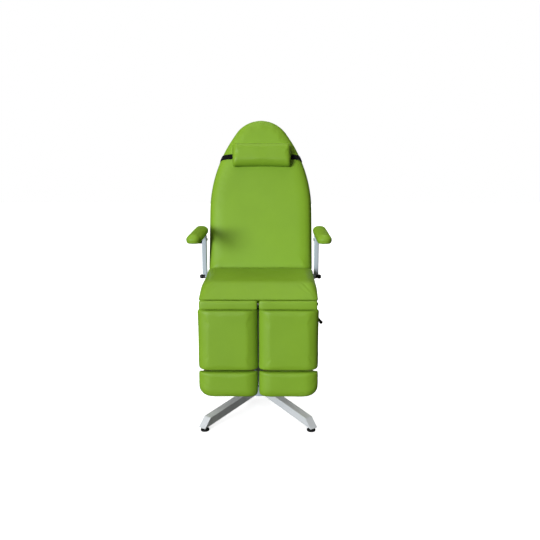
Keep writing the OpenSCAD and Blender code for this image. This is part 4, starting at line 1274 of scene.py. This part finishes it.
class CHAIR_OT_stage(Operator):
    """Set up the floor, the lights and the camera"""

    bl_idname = "chair.stage"
    bl_label = "Stage"

    # Name, setting, azimuth to the left of the camera, elevation and width in degrees, colour, glossy
    LAMPS = (
        ("key_light", "key", 30, 8, 20, (0.92, 0.968, 1.0), True),
        ("top_light", "top", 20, 78, 50, (1.0, 1.0, 1.0), True),
        ("ceiling_light", "ceiling", 180, 76, 30, (1.0, 1.0, 1.0), False),
        ("rear_light", "rear", 180, 50, 30, (1.0, 1.0, 1.0), False),
        ("side_light", "side", -156, 8, 30, (1.0, 1.0, 1.0), False),
        ("fill_light", "fill", 32, 30, 40, (1.0, 1.0, 1.0), True),
    )
    FLOOR_SIZE, FLOOR_GLOW, FLOOR_ROUGHNESS, FLOOR_SPECULAR = 24.0, 0.8, 0.9, 0.1
    FLOOR_SEEN, FLOOR_BOUNCE = (0.8, 0.8, 0.8, 1), (0.056, 0.046, 0.036, 1)
    ROOM_COLOUR = (1, 0.88, 0.75, 1)
    LAMP_AIM, LAMP_DISTANCE = (0, 0, 0.8), 4

    def execute(self, context):
        scene = context.scene
        stage = scene.chair_stage
        scene.view_settings.view_transform = "Standard"
        deselect()
        turn = (stage.camera_pitch, 0, stage.camera_turn)
        bpy.ops.object.camera_add(location=stage.camera_place, rotation=turn)
        camera = bpy.context.object
        camera.name = "camera"
        camera.data.lens = stage.lens
        camera.data.sensor_width = 36.0
        scene.camera = camera
        self.floor()
        self.room(scene, stage.ambient)
        for name, setting, *rest in self.LAMPS:
            self.lamp(name, getattr(stage, setting), *rest)
        return {"FINISHED"}

    def floor(self):
        """A white floor that takes shadows and throws little light back on the chair."""
        deselect()
        bpy.ops.mesh.primitive_plane_add(size=self.FLOOR_SIZE)
        floor = named("floor")
        material = bpy.data.materials.new("Floor")
        material.use_nodes = True
        tree = material.node_tree
        shader = tree.nodes["Principled BSDF"]
        shader.inputs["Roughness"].default_value = self.FLOOR_ROUGHNESS
        shader.inputs["Specular IOR Level"].default_value = self.FLOOR_SPECULAR
        shader.inputs["Emission Color"].default_value = (1, 1, 1, 1)
        seen = put(tree, "LightPath").outputs["Is Camera Ray"]
        feed(tree, shader, Emission_Strength=times(tree, seen, self.FLOOR_GLOW),
             Base_Color=mixed(tree, seen, self.FLOOR_BOUNCE, self.FLOOR_SEEN))
        floor.data.materials.append(material)

    def room(self, scene, ambient):
        """A white room to look at, which lights the chair only dimly."""
        world = bpy.data.worlds.new("Room")
        scene.world = world
        world.use_nodes = True
        tree = world.node_tree
        tree.nodes.clear()
        seen = put(tree, "LightPath").outputs
        direct = math_node(tree, "MAXIMUM", seen["Is Camera Ray"], seen["Is Transmission Ray"])
        dim = put(tree, "Background", {"Color": self.ROOM_COLOUR, "Strength": ambient})
        white = put(tree, "Background", {"Color": (1, 1, 1, 1), "Strength": 1.0})
        both = put(tree, "MixShader", {0: direct, 1: dim.outputs[0], 2: white.outputs[0]})
        feed(tree, put(tree, "OutputWorld"), Surface=both.outputs[0])

    def lamp(self, name, energy, azimuth, elevation, width, colour, glossy):
        """A far light, as wide in the sky as its width."""
        a, e = radians(azimuth), radians(elevation)
        back = Vector((-sin(a) * cos(e), -cos(a) * cos(e), sin(e)))
        deselect()
        bpy.ops.object.light_add(type="SUN", location=Vector(self.LAMP_AIM) + back * self.LAMP_DISTANCE)
        lamp = bpy.context.object
        lamp.name = name
        lamp.rotation_euler = (-back).to_track_quat("-Z", "Y").to_euler()
        lamp.data.angle = radians(width)
        lamp.data.energy = energy
        lamp.data.color = colour
        lamp.visible_glossy = glossy


# Panel

STEPS = (
    CHAIR_OT_stage,
    CHAIR_OT_back_upholstery,
    CHAIR_OT_seat_upholstery,
    CHAIR_OT_pillow,
    CHAIR_OT_leg_upholstery,
    CHAIR_OT_arm_upholstery,
    CHAIR_OT_base,
    CHAIR_OT_seat_structure,
    CHAIR_OT_back_structure,
    CHAIR_OT_leg_structure,
    CHAIR_OT_arm_hardware,
    CHAIR_OT_gas_springs,
    CHAIR_OT_levers,
)


class CHAIR_PT_panel(Panel):
    """Lists the chair's pieces"""

    bl_idname = "CHAIR_PT_panel"
    bl_label = "Podiatry Chair"
    bl_space_type = "VIEW_3D"
    bl_region_type = "UI"
    bl_category = "Chair"

    def draw(self, context):
        for group in (context.scene.chair_upholstery, context.scene.chair_stage):
            box = self.layout.box()
            for key in group.__annotations__:
                box.prop(group, key)
        for step in STEPS:
            self.layout.operator(step.bl_idname)


CLASSES = (UpholsterySizes, StageSettings, *STEPS, CHAIR_PT_panel)


def register():
    for cls in CLASSES:
        bpy.utils.register_class(cls)
    bpy.types.Scene.chair_upholstery = PointerProperty(type=UpholsterySizes)
    bpy.types.Scene.chair_stage = PointerProperty(type=StageSettings)


def unregister():
    del bpy.types.Scene.chair_stage
    del bpy.types.Scene.chair_upholstery
    for cls in reversed(CLASSES):
        bpy.utils.unregister_class(cls)


def main():
    register()
    build_materials()
    for step in STEPS:
        group, name = step.bl_idname.split(".")
        result = getattr(getattr(bpy.ops, group), name)()
        if result != {"FINISHED"}:
            raise RuntimeError(f"{step.bl_label} did not finish")
    deselect()


if __name__ == "__main__":
    main()
